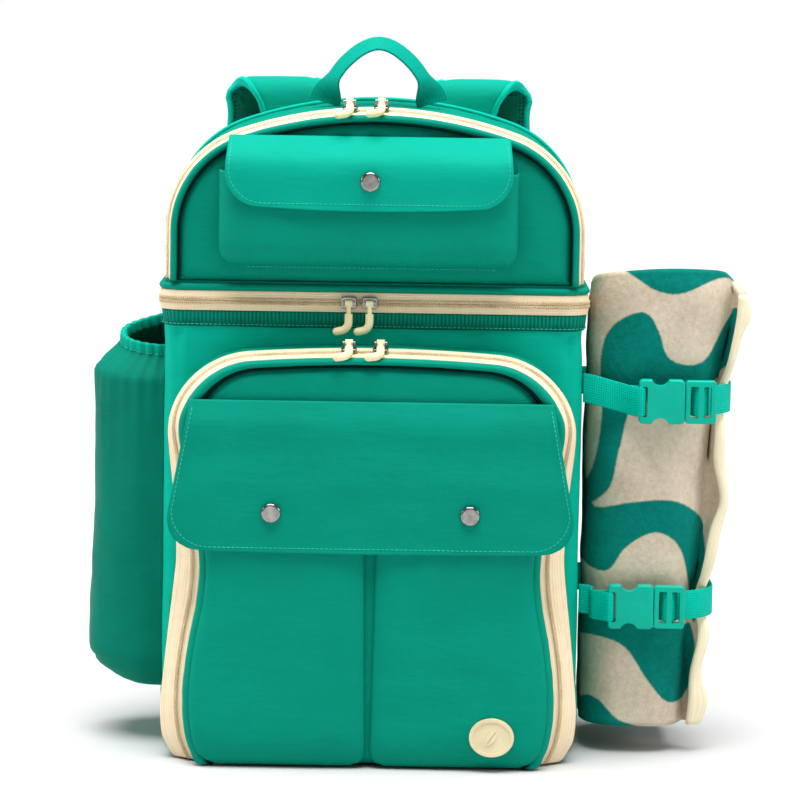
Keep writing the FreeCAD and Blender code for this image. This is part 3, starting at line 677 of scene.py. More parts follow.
def studio():
    """Long lens from the front and a little above, white surroundings, soft shadow underneath."""
    distance = 2.35
    elevation = math.radians(7.0)
    roll = math.radians(0.9)           # the camera is held slightly askew
    target = Vector((0.0184, low("front_pocket_rim").y, 0.2494))
    back = Vector((0, -math.cos(elevation), math.sin(elevation)))
    camera = bpy.data.cameras.new("camera")
    camera.sensor_width = 36.0
    frame_width = 0.5300
    camera.lens = camera.sensor_width * distance / frame_width
    eye = bpy.data.objects.new("camera", camera)
    eye.location = target + back * distance
    turn = (-back).to_track_quat("-Z", "Y").to_matrix() @ Matrix.Rotation(roll, 3, "Z")
    eye.rotation_euler = turn.to_euler()
    bpy.context.scene.collection.objects.link(eye)
    bpy.context.scene.camera = eye

    world = bpy.data.worlds.new("white_room")
    world.use_nodes = True
    tree = world.node_tree
    sky = tree.nodes["Background"]
    sky.inputs["Color"].default_value = (1, 1, 1, 1)
    seen = tree.nodes.new("ShaderNodeLightPath")
    strength = tree.nodes.new("ShaderNodeMix")
    strength.inputs["A"].default_value = ROOM_LIGHT
    strength.inputs["B"].default_value = 1.0
    tree.links.new(seen.outputs["Is Camera Ray"], strength.inputs["Factor"])
    tree.links.new(strength.outputs["Result"], sky.inputs["Strength"])
    bpy.context.scene.world = world
    bpy.context.scene.view_settings.view_transform = "Standard"

    def lamp(name, place, aim, size, power):
        light = bpy.data.lights.new(name, "AREA")
        light.shape = "DISK"
        light.size = size
        light.energy = power
        obj = bpy.data.objects.new(name, light)
        obj.location = place
        obj.rotation_euler = (Vector(aim) - Vector(place)).to_track_quat("-Z", "Y").to_euler()
        bpy.context.scene.collection.objects.link(obj)

    sun = bpy.data.lights.new("overhead", "SUN")
    sun.energy = 5.6
    sun.angle = math.radians(50)
    overhead = bpy.data.objects.new("overhead", sun)
    overhead.rotation_euler = Vector((0.02, 0.13, -1)).to_track_quat("-Z", "Y").to_euler()
    bpy.context.scene.collection.objects.link(overhead)
    lamp("left", (-1.8, 0.1, 0.9), (0, 0, 0.2), 0.8, 9)
    lamp("right", (1.8, -0.5, 0.9), (0, 0, 0.2), 0.8, 7)

    half = 12.0
    floor = add_mesh("floor", [(-half, -half, 0), (half, -half, 0), (half, half, 0), (-half, half, 0)],
                     [(0, 1, 2, 3)])
    floor.location.z = FLOOR_LEVEL
    floor.data.materials.append(floor_look())


# ---- zips ---------------------------------------------------------------------------------------
STEP = 0.0035              # spacing of places along the outlines
TOP_LINE = arch_stations(TOP, STEP)
# How far the front pocket's sides swell (+) or draw in (-) at these heights, in millimetres.
POCKET_SWELL = ((0, -6.5), (6, -3.4), (15, 1.3), (32, 3.0), (45, 2.4), (58, 1.1), (86, -1.7),
                (113, -4.8), (139, -7.2), (175, -5.5), (215, -1.5), (240, 0.0), (300, 0.0))
# How much further its front edge is drawn in there, so that the zip faces the front.
POCKET_DRAWN = ((0, 8.6), (6, 9.4), (15, 10.6), (32, 9.4), (58, 7.6), (86, 8.4), (113, 10.4),
                (139, 9.4), (175, 6.0), (215, 2.0), (240, 0.0), (300, 0.0))


def between(table, at):
    """Reads a table of (place, value) pairs, in millimetres, along a smooth curve through them."""
    at /= MM
    i = 0
    while i < len(table) - 2 and at > table[i + 1][0]:
        i += 1
    (x0, y0), (x1, y1) = table[i], table[i + 1]
    span = x1 - x0
    t = min(max((at - x0) / span, 0.0), 1.0)
    slopes = []
    for k in (i, i + 1):
        before, after = table[max(k - 1, 0)], table[min(k + 1, len(table) - 1)]
        slopes.append((after[1] - before[1]) / (after[0] - before[0]) * span)
    value = (2 * t ** 3 - 3 * t ** 2 + 1) * y0 + (t ** 3 - 2 * t ** 2 + t) * slopes[0]
    value += (3 * t ** 2 - 2 * t ** 3) * y1 + (t ** 3 - t ** 2) * slopes[1]
    return value * MM


# Where the pocket's sides turn in under it: (inward from the last station, height).
POCKET_TUCK = ((0.0009, 0.0034), (0.0022, 0.0020), (0.0036, 0.0011))


def upright(out):
    """1 where an arched outline runs upright, 0 over its top."""
    return ease((abs(out.x) - 0.5) / 0.3)


def swollen_line(stations):
    """The front pocket's outline with its sides swollen and its feet turned in."""
    line = []
    for origin, out, forward in stations:
        shift = between(POCKET_SWELL, origin.z) * upright(out)
        line.append((origin + X_AXIS * (shift * math.copysign(1.0, out.x)), out, forward))
    for end in (0, -1):
        origin, out, forward = line[end]
        for inward, z in POCKET_TUCK:
            place = Vector((origin.x - math.copysign(inward, out.x), origin.y, z))
            line.insert(0 if end == 0 else len(line), (place, out, forward))
    return line


POCKET_LINE = swollen_line(arch_stations(POCKET, STEP))
POCKET_IN = [upright(out) * between(POCKET_DRAWN, origin.z) for origin, out, _ in POCKET_LINE]
POCKET_RIM_LINE = [(origin - Vector((math.copysign(drawn, out.x), 0, 0)), out, forward)
                   for (origin, out, forward), drawn in zip(POCKET_LINE, POCKET_IN)]
POCKET_FOOT = 0.0024       # height of the lower edge of the front pocket's panel and patch pockets
RIM_CLEAR = 0.0034         # from the rim's inner edge to the edge of a patch pocket


def pocket_edge(z):
    """Half the width that the patch pockets have inside the front pocket's rim at this height."""
    return POCKET.half + between(POCKET_SWELL, z) - between(POCKET_DRAWN, z) - RIM_INSET[1] - RIM_CLEAR


BAND_LINE = plan_stations(STEP)
TOP_SPLIT = (high("top_zip_inner").y + low("top_zip_outer").y) / 2
POCKET_SPLIT = (high("pocket_zip_inner").y + low("pocket_zip_outer").y) / 2


STRIP_STEPS = 12
TOOTH_PITCH = 0.0015
TOOTH_LONG = 0.0024
TOOTH_RADIUS = 0.00062
TAPE_RIDGES = ((0.26, 0.035, 0.00025), (0.52, 0.04, 0.00035), (0.66, 0.04, 0.00030))


def ridged_strip(start, end, thick, side, ridges):
    """A thin strip seen end on, from start to end, with ridges (place 0..1, width, height) standing
    on its outer side. side is 1 or -1, for which side is outer."""
    da, db = end[0] - start[0], end[1] - start[1]
    length = math.hypot(da, db)
    normal = (-db / length * side, da / length * side)
    top, back = [], []
    for i in range(STRIP_STEPS + 1):
        t = i / STRIP_STEPS
        rise = sum(height * bell((t - place) / width) for place, width, height in ridges)
        edge = 0.0 if 0 < i < STRIP_STEPS else -thick * 0.35
        a, b = start[0] + da * t, start[1] + db * t
        top.append((a + normal[0] * (rise + edge), b + normal[1] * (rise + edge)))
        back.append((a - normal[0] * (thick + edge), b - normal[1] * (thick + edge)))
    return top + back[::-1]


def teeth(name, stations, centre, across, shift):
    """One half of a coil: a spindle across the tape every pitch, moved along it by shift."""
    line = [o + a * centre[0] + b * centre[1] for o, a, b in stations]
    ways = [(a * across[0] + b * across[1]).normalized() for _, a, b in stations]
    lengths = running_lengths(line)
    places = []
    at, i = TOOTH_PITCH / 2 + shift, 0
    while at < lengths[-1] - TOOTH_PITCH / 2:
        while lengths[i + 1] < at:
            i += 1
        t = (at - lengths[i]) / (lengths[i + 1] - lengths[i])
        places.append((line[i].lerp(line[i + 1], t), ways[i].lerp(ways[i + 1], t)))
        at += TOOTH_PITCH
    return beads(name, places, TOOTH_LONG, TOOTH_RADIUS, sides=5)


def zip_half(name, stations, edge, split, side, body, node, shift, wider):
    """Tape from its sewn edge to the split, and its row of teeth along the split. wider holds, for
    each station, how far the edge and the split are set in."""

    def section(i):
        more_edge, more_split = wider[i]
        return ridged_strip((edge[0] - more_edge, edge[1]), (split[0] - more_split, split[1]), TAPE,
                            side, TAPE_RIDGES)

    swept(name + "_tape", stations, section, "zip_tape", "zip_tape", body, node)
    da, db = split[0] - edge[0], split[1] - edge[1]
    length = math.hypot(da, db)
    da, db = da / length, db / length
    normal = (-db * side, da * side)
    back = TOOTH_LONG * 0.5
    centre = (split[0] - da * back + normal[0] * 0.0003, split[1] - db * back + normal[1] * 0.0003)
    line = [(o - a * more[1], a, b) for (o, a, b), more in zip(stations, wider)]
    row = teeth(name + "_teeth", line, centre, (da, db), shift)
    dress(row, "zip_coil", "zip_tape", body)


ZIP_GAP = 0.00015          # between the split and the edge of each tape
SPLIT_SHARE = 0.48         # the split is drawn in by this share of what the front edge is
ZIP_LAP = 0.0002           # how far an arched zip's outer tape stands out from the gusset
BAND_LAP = 0.0012          # how far in the band zip's sewn edges lie from its outer face
BAND_SPLIT_IN = 0.0004     # and how far in its split lies


def arched_zip(name, stations, split, outer_body, inner_body, drawn):
    """Both halves of an arched zip. drawn is how far its front edge is drawn in at each station."""
    at_split = [way * SPLIT_SHARE for way in drawn]
    outer, inner = name + "_zip_outer", name + "_zip_inner"
    zip_half(outer, stations, (ZIP_LAP, high(outer).y), (-ZIP_INSET, split + ZIP_GAP), 1, outer_body,
             outer, 0.0, [(0.0, way) for way in at_split])
    zip_half(inner, stations, (-RIM_INSET[0], low(inner).y), (-ZIP_INSET, split - ZIP_GAP), -1,
             inner_body, inner, TOOTH_PITCH / 2, list(zip(drawn, at_split)))


def zips():
    arched_zip("top", TOP_LINE, TOP_SPLIT, "lid", "top_front", [0.0] * len(TOP_LINE))
    arched_zip("pocket", POCKET_LINE, POCKET_SPLIT, "cooler_body", "front_pocket", POCKET_IN)
    out = -low("band_zip_lower").x - BODY_HALF
    still = [(0.0, 0.0)] * len(BAND_LINE)
    zip_half("band_zip_lower", BAND_LINE, (out - BAND_LAP, low("band_zip_lower").z),
             (out - BAND_SPLIT_IN, ZIP_LEVEL - ZIP_GAP), -1, "cooler_body", "band_zip_lower", 0.0, still)
    zip_half("band_zip_upper", BAND_LINE, (out - BAND_LAP, high("band_zip_upper").z),
             (out - BAND_SPLIT_IN, ZIP_LEVEL + ZIP_GAP), 1, "lid", "band_zip_upper", TOOTH_PITCH / 2, still)


# ---- panels -------------------------------------------------------------------------------------
FOOT_STEPS = 40            # points along the foot of an arched panel
PANEL_ROWS = 22            # rings from the last inset of an arched panel to its middle
PANEL_RINGS = (PANEL_INSET - 0.0006, 0.0104, 0.0118, 0.0140, 0.0175, 0.023)
GUSSET_HEM = 0.006         # how far the puckers of a gusset's seams reach


def face_toward(obj, direction):
    """Turns the sheet over if it looks away from direction."""
    total = Vector((0, 0, 0))
    for p in obj.data.polygons:
        total += p.normal * p.area
    if total.dot(direction) < 0:
        obj.data.flip_normals()
    return obj


def sheet(name, rows, direction, thickness=CLOTH):
    return thicken(face_toward(grid(name, rows), direction), thickness)


def closed_outline(stations, inset, bottom):
    """The arch set in by this much, closed along its bottom."""
    points = []
    for origin, out, _ in stations:
        p = origin - out * inset
        points.append(Vector((p.x, 0, max(p.z, bottom))))
    first, last = points[0], points[-1]
    for i in range(1, FOOT_STEPS):
        points.append(last.lerp(first, i / FOOT_STEPS))
    return points + [points[0]]


def arched_panel(name, stations, insets, bottom, depth):
    """A panel inside an arch. insets are the rings near its edge, and depth(p, margin) is its y at a
    point this far inside the first ring."""
    rows = []
    for inset in insets:
        margin = inset - insets[0]
        ring = closed_outline(stations, inset, bottom + margin)
        rows.append([Vector((p.x, depth(p, margin), p.z)) for p in ring])
    ring = closed_outline(stations, insets[-1], bottom + insets[-1] - insets[0])
    centre = Vector((0, 0, (ring[0].z + max(p.z for p in ring)) / 2))
    start = insets[-1] - insets[0]
    for i in range(1, PANEL_ROWS + 1):
        t = i / PANEL_ROWS
        row = []
        for p in ring:
            q = p.lerp(centre, t * 0.985)
            row.append(Vector((q.x, depth(q, start + (q - p).length), q.z)))
        rows.append(row)
    obj = grid(name, rows)
    work = bmesh.new()
    work.from_mesh(obj.data)
    hub = [v for v in work.verts if v.index >= (len(rows) - 1) * len(ring)]
    bmesh.ops.pointmerge(work, verts=hub, merge_co=sum((v.co for v in hub), Vector()) / len(hub))
    bmesh.ops.remove_doubles(work, verts=work.verts, dist=HAIR)
    work.to_mesh(obj.data)
    work.free()
    return thicken(face_toward(obj, -Y_AXIS), CLOTH)


RIM_CORD = 0.0026          # half the width of the piped edge
RIM_SHIFT = 0.0004         # how far it is moved in from the middle of its insets


def rim(name, stations, node, body):
    """The piped edge: a covered cord with small puckers, and a dark cord in the groove inside it that is
    painted shadow.
    """
    middle_b = (low(node).y + high(node).y) / 2
    half_b = (high(node).y - low(node).y) / 2
    middle_a = -(RIM_INSET[0] + RIM_INSET[1]) / 2 - RIM_SHIFT

    def section(i):
        place = stations[i][0]
        pinch = 1.0 + 0.05 * wander(place, 0.007, 3.0) + 0.04 * wander(place, 0.02, 8.0)
        return oval_section(RIM_CORD * pinch, half_b * pinch, 14, middle_a, middle_b)

    # A dark cord laid in the groove inside the piping: painted shadow along its seam.
    seam = oval_section(0.0010, 0.0022, 8, middle_a - 0.0030, middle_b - half_b * 0.35)
    swept(name + "_painted_shadow_cord", stations, seam, "seam_shadow", "teal_nylon", body)
    swept(name, stations, section, "teal_nylon", "teal_nylon", body, node)


def gusset(name, stations, back, front, body, node, sag, seed):
    """The cloth band behind an arched zip: it sags a little between its seams and puckers at them."""
    steps = 18

    def section(i):
        place = stations[i][0]
        tight = 0.4 if abs(stations[i][1].x) > 0.85 else 1.0
        outer, inner = [], []
        for j in range(steps + 1):
            t = j / steps
            y = back + (front - back) * t
            at = Vector((place.x, y, place.z))
            belly = math.sin(math.pi * t) ** 0.7
            a = -sag * belly * tight
            a += 0.0016 * belly * wander(at, 0.038, seed)
            a += 0.0006 * bell((y - front) / GUSSET_HEM) * wander(at, 0.009, seed + 4)
            a += 0.0005 * bell((y - back) / GUSSET_HEM) * wander(at, 0.010, seed + 9)
            outer.append((a, y))
            inner.append((a - CLOTH, y))
        return outer + inner[::-1]

    swept(name, stations, section, "teal_nylon", "teal_nylon", body, node)


def top_compartment():
    gusset("top_gusset_cloth", TOP_LINE, BODY_BACK - 0.0015, high("top_zip_outer").y + 0.0002, "lid",
           "top_gusset", 0.0022, 2.0)

    def back_depth(p, margin):
        return BODY_BACK - 0.0004 - 0.0012 * bell(margin / 0.01) * (1 + wander(p, 0.012, 5.0))

    back = arched_panel("top_back_cloth", TOP_LINE, (0.0, 0.002, 0.006, 0.014), TOP.bottom, back_depth)
    dress(back, "teal_nylon", "teal_nylon", "lid", "top_back_panel")
    seam = [(origin + Y_AXIS * (BODY_BACK - 0.0012), a, b) for origin, a, b in TOP_LINE]
    swept("top_back_piping", seam, oval_section(0.0018, 0.0018, 10, 0.0006), "teal_binding",
          "teal_binding", "lid")

    rim("top_front_piping", TOP_LINE, "top_front_rim", "top_front")
    front = low("top_front_panel").y

    def depth(p, margin):
        # It sinks to its seam, puffs out inside it, and puckers along its edge and its foot.
        sink = 0.0046 * bell(margin / 0.0030)
        puff = -0.0010 * ease(margin / 0.03) * (1 + 0.8 * wander(p, 0.05, 1.0))
        tuck = 0.0007 * bell(margin / 0.012) * wander(p, 0.011, 7.0)
        foot = 0.0008 * bell((p.z - TOP.bottom) / 0.008) * wander((p.x, 0, 0), 0.010, 11.0)
        return front + sink + puff + tuck + foot

    panel = arched_panel("top_front_cloth", TOP_LINE, PANEL_RINGS, TOP.bottom, depth)
    dress(panel, "teal_nylon", "teal_nylon", "top_front", "top_front_panel")


def front_pocket():
    gusset("pocket_gusset_cloth", POCKET_LINE, BODY_FRONT, high("pocket_zip_outer").y + 0.0002,
           "cooler_body", "pocket_gusset", 0.0006, 14.0)
    rim("front_pocket_piping", POCKET_RIM_LINE, "front_pocket_rim", "front_pocket")
    front = low("front_pocket_panel").y

    def depth(p, margin):
        # It sinks to its seam, puffs out inside it, and puckers along its edge and under the pulls.
        sink = 0.0052 * bell(margin / 0.0032)
        puff = -0.0009 * ease(margin / 0.03) * (1 + 0.8 * wander(p, 0.06, 21.0))
        tuck = 0.0006 * bell(margin / 0.012) * wander(p, 0.011, 27.0)
        pull = 0.0016 * bell(math.hypot(p.x, p.z - 0.262) / 0.02) * wander(p, 0.014, 3.0)
        return front + sink + puff + tuck + pull

    panel = arched_panel("front_pocket_cloth", POCKET_RIM_LINE, PANEL_RINGS, POCKET_FOOT, depth)
    dress(panel, "teal_nylon", "teal_nylon", "front_pocket", "front_pocket_panel")


# ---- cooler compartment -------------------------------------------------------------------------
BASE_TOP = high("base_panel").z
SEAM_X = BODY_HALF - 0.0095        # upright seams between the front and the sides
WALL_ROWS = 74
WALL_THICK = 0.0022
ZIP_SEAM_DROP = 0.009              # from the walls' top down to the seam under the band zip
FOOT_TURN = 0.011                  # how far the walls turn in at their foot
FOOT_ROUND = 0.017                 # height over which they do
MOST_BULGE = 0.0030
HINGE_TAPE_WIDTH = 0.0300


def cooler_shell():
    """Front, sides and back as one skin: puckered under the band zip, creased at its seams."""
    plan = plan_stations(0.0028, closed=True)
    heights = [BODY_LOW + 0.0005 + (BODY_TOP - BODY_LOW - 0.0005) * (i / WALL_ROWS)
               for i in range(WALL_ROWS + 1)]
    heights += [BODY_TOP - 0.0012, BODY_TOP - 0.0024, BODY_TOP - 0.0036]
    heights.sort()

    def point(station, z):
        origin, out, _ = station
        at = Vector((origin.x, origin.y, z))
        # Short puckers close under the band zip, and longer ones further down.
        under = BODY_TOP - ZIP_SEAM_DROP - z
        hem = math.exp(-max(under, 0) / 0.020) * ease(under / 0.004)
        move = 0.0018 * hem * wander(at, 0.017, 1.0)
        move += 0.0012 * math.exp(-max(under, 0) / 0.055) * wander(at, 0.045, 6.0)
        # The wall turns in round its foot, and has wide folds about halfway up.
        move -= FOOT_TURN * max(1 - (z - BODY_LOW) / FOOT_ROUND, 0.0) ** 2
        middle = math.sin(math.pi * min(max(z / BODY_TOP, 0), 1))
        move += 0.0010 * middle * wander(at, 0.07, 12.0)
        # Creases along the upright seams at the front, deepest near the zip.
        if origin.y < BODY_FRONT + BODY_CORNER:
            fold = bell((abs(origin.x) - SEAM_X) / 0.0022)
            deep = 0.0034 * math.exp(-max(under, 0) / 0.022) * ease(under / 0.003) + 0.0005
            move -= fold * deep
        return at + out * min(move, MOST_BULGE)

    rows = [[point(s, z) for s in plan] for z in heights]
    for row in rows:
        row.append(row[0].copy())
    shell = grid("cooler_shell", rows)
    work = bmesh.new()
    work.from_mesh(shell.data)
    bmesh.ops.remove_doubles(work, verts=work.verts, dist=1e-7)
    bmesh.ops.recalc_face_normals(work, faces=work.faces)
    work.to_mesh(shell.data)
    work.free()
    facing_out = sum(p.normal.dot(p.center - Vector((0, 0.02, p.center.z))) * p.area
                     for p in shell.data.polygons)
    if facing_out < 0:
        shell.data.flip_normals()
    thicken(shell, WALL_THICK)
    # The walls take the lighter wall nylon: painted light in place of the shade under the lid.
    dress(shell, "wall_nylon_painted_lit", "teal_nylon", "cooler_body", "front_wall", "back_panel",
          "right_side_panel", "left_side_panel")


def hinge_tape():
    """The cloth strip across the back that the lid hinges on."""
    back = high("band_zip_lower").y - 0.003
    plan = plan_stations(0.004, closed=True)
    half = len(plan) // 2
    behind = [s for s in plan[half:] if s[0].y >= back] + [s for s in plan[:half] if s[0].y >= back]
    level = (BODY_TOP + ZIP_LEVEL * 2) / 3
    stations = [(origin + Z_AXIS * level, out, up) for origin, out, up in behind]
    section = rounded_section(0.0014, HINGE_TAPE_WIDTH, 0.0006, 2)
    # Its lighter nylon is painted light.
    tape = swept("hinge_tape", stations, section, "teal_nylon_painted_lit", "teal_nylon", None)
    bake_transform(tape)


def base_floor():
    """The padded base under the cooler compartment and the front pocket."""
    plan = [o - a * 0.0100 for o, a, _ in plan_stations(0.006, closed=True)]
    plan = [p for p in plan if p.y > BODY_FRONT + 0.022]
    plan.sort(key=lambda p: math.atan2(p.x, -(p.y - 0.01)))
    foot = POCKET.half + between(POCKET_SWELL, 0.001) - 0.004
    rim_front = low("front_pocket_rim").y
    right = [(foot - 0.026, rim_front + 0.010), (foot - 0.010, -0.074), (foot, -0.060)]
    nose = [(-x, y) for x, y in right[::-1]] + right
    outline = [Vector((x, y, 0)) for x, y in nose] + plan
    centre = sum(outline, Vector()) / len(outline)
    rows = []
    for inset, z in ((0.0, BASE_TOP), (0.0, 0.0022), (0.0012, 0.0006), (0.0040, 0.0001)):
        rows.append([p + (centre - p).normalized() * inset + Z_AXIS * z for p in outline + outline[:1]])
    rows.append([centre + (p - centre) * 0.02 + Z_AXIS * 0.0001 for p in outline + outline[:1]])
    floor = thicken(face_toward(grid("base_cloth", rows), -Z_AXIS), 0.0012)
    # The base takes the dark nylon: painted shade under the bag.
    dress(floor, "base_painted_shade", "teal_nylon", "cooler_body", "base_panel")


def rim_strip():
    """Ribbed strip sewn round under the band zip, with a row of stitches along its lower edge."""
    z0, z1 = low("rim_binding").z, high("rim_binding").z
    out = -low("rim_binding").x - BODY_HALF

    def section(i):
        place = BAND_LINE[i][0]
        wave = 0.0004 * wander(place, 0.012, 2.0) + 0.0003 * wander(place, 0.03, 9.0)
        drop = 0.0006 * wander(place, 0.05, 15.0)
        return ridged_strip((out - 0.0009 + wave, z0 + drop), (out + 0.0006 + wave * 0.4, z1), 0.0012,
                            -1, ((0.12, 0.05, 0.0003),))

    swept("rim_strip", BAND_LINE, section, "grosgrain", "teal_binding", "cooler_body", "rim_binding")
    path = [o + a * (out + 0.0001) + b * (z0 + 0.0016) for o, a, b in BAND_LINE]
    stitches("rim_strip_stitches", path, "cooler_body")


def lid_edge():
    """The lid's floor and its piped edge."""
    z0, z1 = low("lid_floor").z, high("lid_floor").z
    edge_top = z0 + 0.0042
    out = -low("lid_floor").x - BODY_HALF
    flat = [origin - a * 0.0008 for origin, a, _ in plan_stations(0.006, closed=True)]
    verts = [Vector((p.x, p.y, z)) for z in (z0 + 0.0006, z1) for p in flat]
    count = len(flat)
    faces = [(i, (i + 1) % count, count + (i + 1) % count, count + i) for i in range(count)]
    faces += [tuple(range(count)), tuple(range(2 * count - 1, count - 1, -1))]
    board = outward(add_mesh("lid_floor_cloth", verts, faces))
    for polygon in board.data.polygons:
        polygon.use_smooth = False
    dress(board, "teal_nylon", "teal_nylon", "lid", "lid_floor")

    def section(i):
        pinch = 1.0 + 0.05 * wander(BAND_LINE[i][0], 0.009, 3.0)
        return oval_section(0.0028 * pinch, 0.0023 * pinch, 14, out - 0.0024, (z0 + edge_top) / 2)

    swept("lid_piping", BAND_LINE, section, "teal_nylon", "teal_nylon", "lid")


# ---- pockets and flaps --------------------------------------------------------------------------
def pouch(name, side_low, side_high, foot, mouth, depth, back, seed, square, base_round, corner,
          flange=0.0026, shift=None):
    """A pocket sewn to a flat panel: U-shaped rows from the seam along its foot up to its mouth.
    square is how boxy its plan is. shift(side, height) moves its -X (side -1) and +X (side 1)
    edges."""
    rows = []
    across, up = 72, 46
    middle = (side_low + side_high) / 2
    half = (side_high - side_low) / 2
    levels = [-flange, -flange * 0.3]
    levels += [(mouth - foot) * (j / up) ** 1.25 for j in range(up + 1)]
    for rise in levels:
        # It stands out quickly above its foot, and its lower corners are round.
        h = max(rise, 0.0)
        bulge = (1 - (1 - min(h / base_round, 1.0)) ** 3) ** 0.6 if h > 0 else 0.0
        deep = 0.0006 + (depth - 0.0006) * bulge
        drawn = corner - math.sqrt(max(corner ** 2 - max(corner - h, 0.0) ** 2, 0.0))
        width = half - drawn
        row = []
        for i in range(across + 1):
            # A boxy half oval, seen from above.
            angle = math.pi * (1 - i / across)
            c, s = math.cos(angle), math.sin(angle)
            x = math.copysign(abs(c) ** (2 / square), c) * width
            d = abs(s) ** (2 / square) * deep
            if shift:
                x += shift(-1, foot + h) * (1 - x / half) / 2 + shift(1, foot + h) * (1 + x / half) / 2
            z = foot + rise
            at = Vector((middle + x, back - d, z))
            # Folds, which fade out towards the seams.
            fade = min(d / depth, 1.0)
            d += fade * (0.0012 * wander(at, 0.045, seed) + 0.0006 * wander(at, 0.018, seed + 3))
            row.append(Vector((at.x, back - d, at.z)))
        # The hem that is sewn down beside it.
        edge = flange if h > 0 else flange * 0.6
        row.insert(0, row[0] + Vector((-edge, -0.0002, 0)))
        row.append(row[-1] + Vector((edge, -0.0002, 0)))
        rows.append(row)
    return sheet(name, rows, -Y_AXIS)


def smooth_path(points, step, closed=False):
    """Catmull-Rom through the points, then evenly spaced."""
    dense = []
    count = len(points)
    for i in range(count if closed else count - 1):
        def at(k):
            return points[k % count] if closed else points[min(max(k, 0), count - 1)]
        a, b, c, d = at(i - 1), at(i), at(i + 1), at(i + 2)
        for j in range(16):
            t = j / 16
            dense.append(0.5 * (2 * b + (c - a) * t + (2 * a - 5 * b + 4 * c - d) * t * t
                                + (3 * b - a - 3 * c + d) * t ** 3))
    dense.append(points[0].copy() if closed else points[-1].copy())
    total = running_lengths(dense)[-1]
    pieces = max(int(round(total / step)), 2)
    line = [p for p, _ in spaced(dense, total / pieces)]
    return line if closed else [dense[0]] + line + [dense[-1]]


FALL_STEP = 0.0028         # spacing of the rows down a flap
FLAP_COLUMNS = 84
EDGE_STEPS = 60            # points along the straight lower edge of a flap
FLAP_MARGIN = 0.0024       # from a flap's edge to its row of stitches
TACK_LONG = 0.0055


class Flap:
    """A flap that hangs from its seam: its outline seen from the front, and its fall in (y, z)."""

    def __init__(self, middle, half_high, half_low, fall, corner):
        self.middle, self.half_high, self.half_low = middle, half_high, half_low
        self.line = smooth_path([Vector((0, y, z)) for y, z in fall], FALL_STEP)
        self.corner = corner
        self.top, self.end = self.line[0].z, self.line[-1].z

    def half(self, z, margin=0.0):
        share = (self.top - z) / (self.top - self.end)
        wide = self.half_high + (self.half_low - self.half_high) * share
        h = z - self.end - margin
        r = self.corner - margin
        drawn = r - math.sqrt(max(r * r - max(r - h, 0.0) ** 2, 0.0))
        return wide - margin - drawn

    def edge(self, margin):
        """Points round the free edge at this margin, from the -X seam round to the +X one."""
        r = self.corner - margin
        heights = [self.top - 0.004 + (self.end + self.corner - self.top + 0.004) * i / 20
                   for i in range(20)]
        side = [(self.half(z, margin), z) for z in heights]
        turn = []
        wide = self.half(self.end + self.corner, margin)
        for i in range(16):
            angle = math.pi / 2 * i / 15
            turn.append((wide - r + r * math.cos(angle), self.end + self.corner - r * math.sin(angle)))
        right = side + turn
        left = [(-x, z) for x, z in right]
        low_z = self.end + margin
        floor = [(left[-1][0] + (right[-1][0] - left[-1][0]) * i / EDGE_STEPS, low_z)
                 for i in range(1, EDGE_STEPS)]
        outline = left + floor + right[::-1]
        return [Vector((self.middle + x, 0, z)) for x, z in outline]

    def mesh(self, name, snaps, seed, bow):
        """The cloth, drawn in round its snaps; bow is how far the middle of its edge hangs down."""
        rows = []
        line = self.line
        extra = [line[-1].lerp(line[-2], t) for t in (0.8, 0.5, 0.25)]
        for p in line[:-1] + extra + [line[-1]]:
            wide = self.half(p.z)
            row = []
            for i in range(FLAP_COLUMNS + 1):
                s = -1 + 2 * i / FLAP_COLUMNS
                s = math.copysign(abs(s) ** 0.92, s)
                at = Vector((self.middle + s * wide, p.y, p.z))
                margin = min(wide * (1 - abs(s)), p.z - self.end)
                fall = (self.top - p.z) / (self.top - self.end)
                # Folds, which fade out at the seam above and round each snap.
                y = 0.0013 * ease(fall * 2) * wander(at, 0.055, seed)
                y += 0.0007 * ease(fall * 2) * wander(at, 0.022, seed + 5)
                for x, z in snaps:
                    away = math.hypot(at.x - x, at.z - z)
                    y *= 1 - bell(away / 0.014)
                    y += 0.0005 * bell(away / 0.009)
                # Its sides lie back, and its edge is rolled in front of the stitches.
                y += 0.0016 * abs(s) ** 6 * ease(fall * 1.5)
                y -= 0.0004 * (1 - ease((margin - 0.0036) / 0.0012))
                y -= 0.0004 * bell((margin - 0.0009) / 0.0010)
                z = p.z - bow * (1 - s * s) * fall ** 2
                row.append(Vector((at.x, p.y + y, z)))
            rows.append(row)
        return sheet(name, rows, -Y_AXIS, 0.0015)


def bar_tack(name, centre, direction, body, tree):
    """A short dense zigzag of thread."""
    line = []
    side = direction.cross(Y_AXIS).normalized()
    for i in range(9):
        t = i / 8 - 0.5
        line.append(centre + direction * (TACK_LONG * t) + side * (0.0008 if i % 2 else -0.0008))
    stitches(name, line, body, Y_AXIS, tree, pitch=0.0009, long=0.0013)


def declare_flap(flap):
    """Works out how long and how wide the flap's cloth is when it lies flat, and does nothing more with it.
    """
    long = running_lengths(flap.line)[-1]
    wide = 2 * max(flap.half_high, flap.half_low)


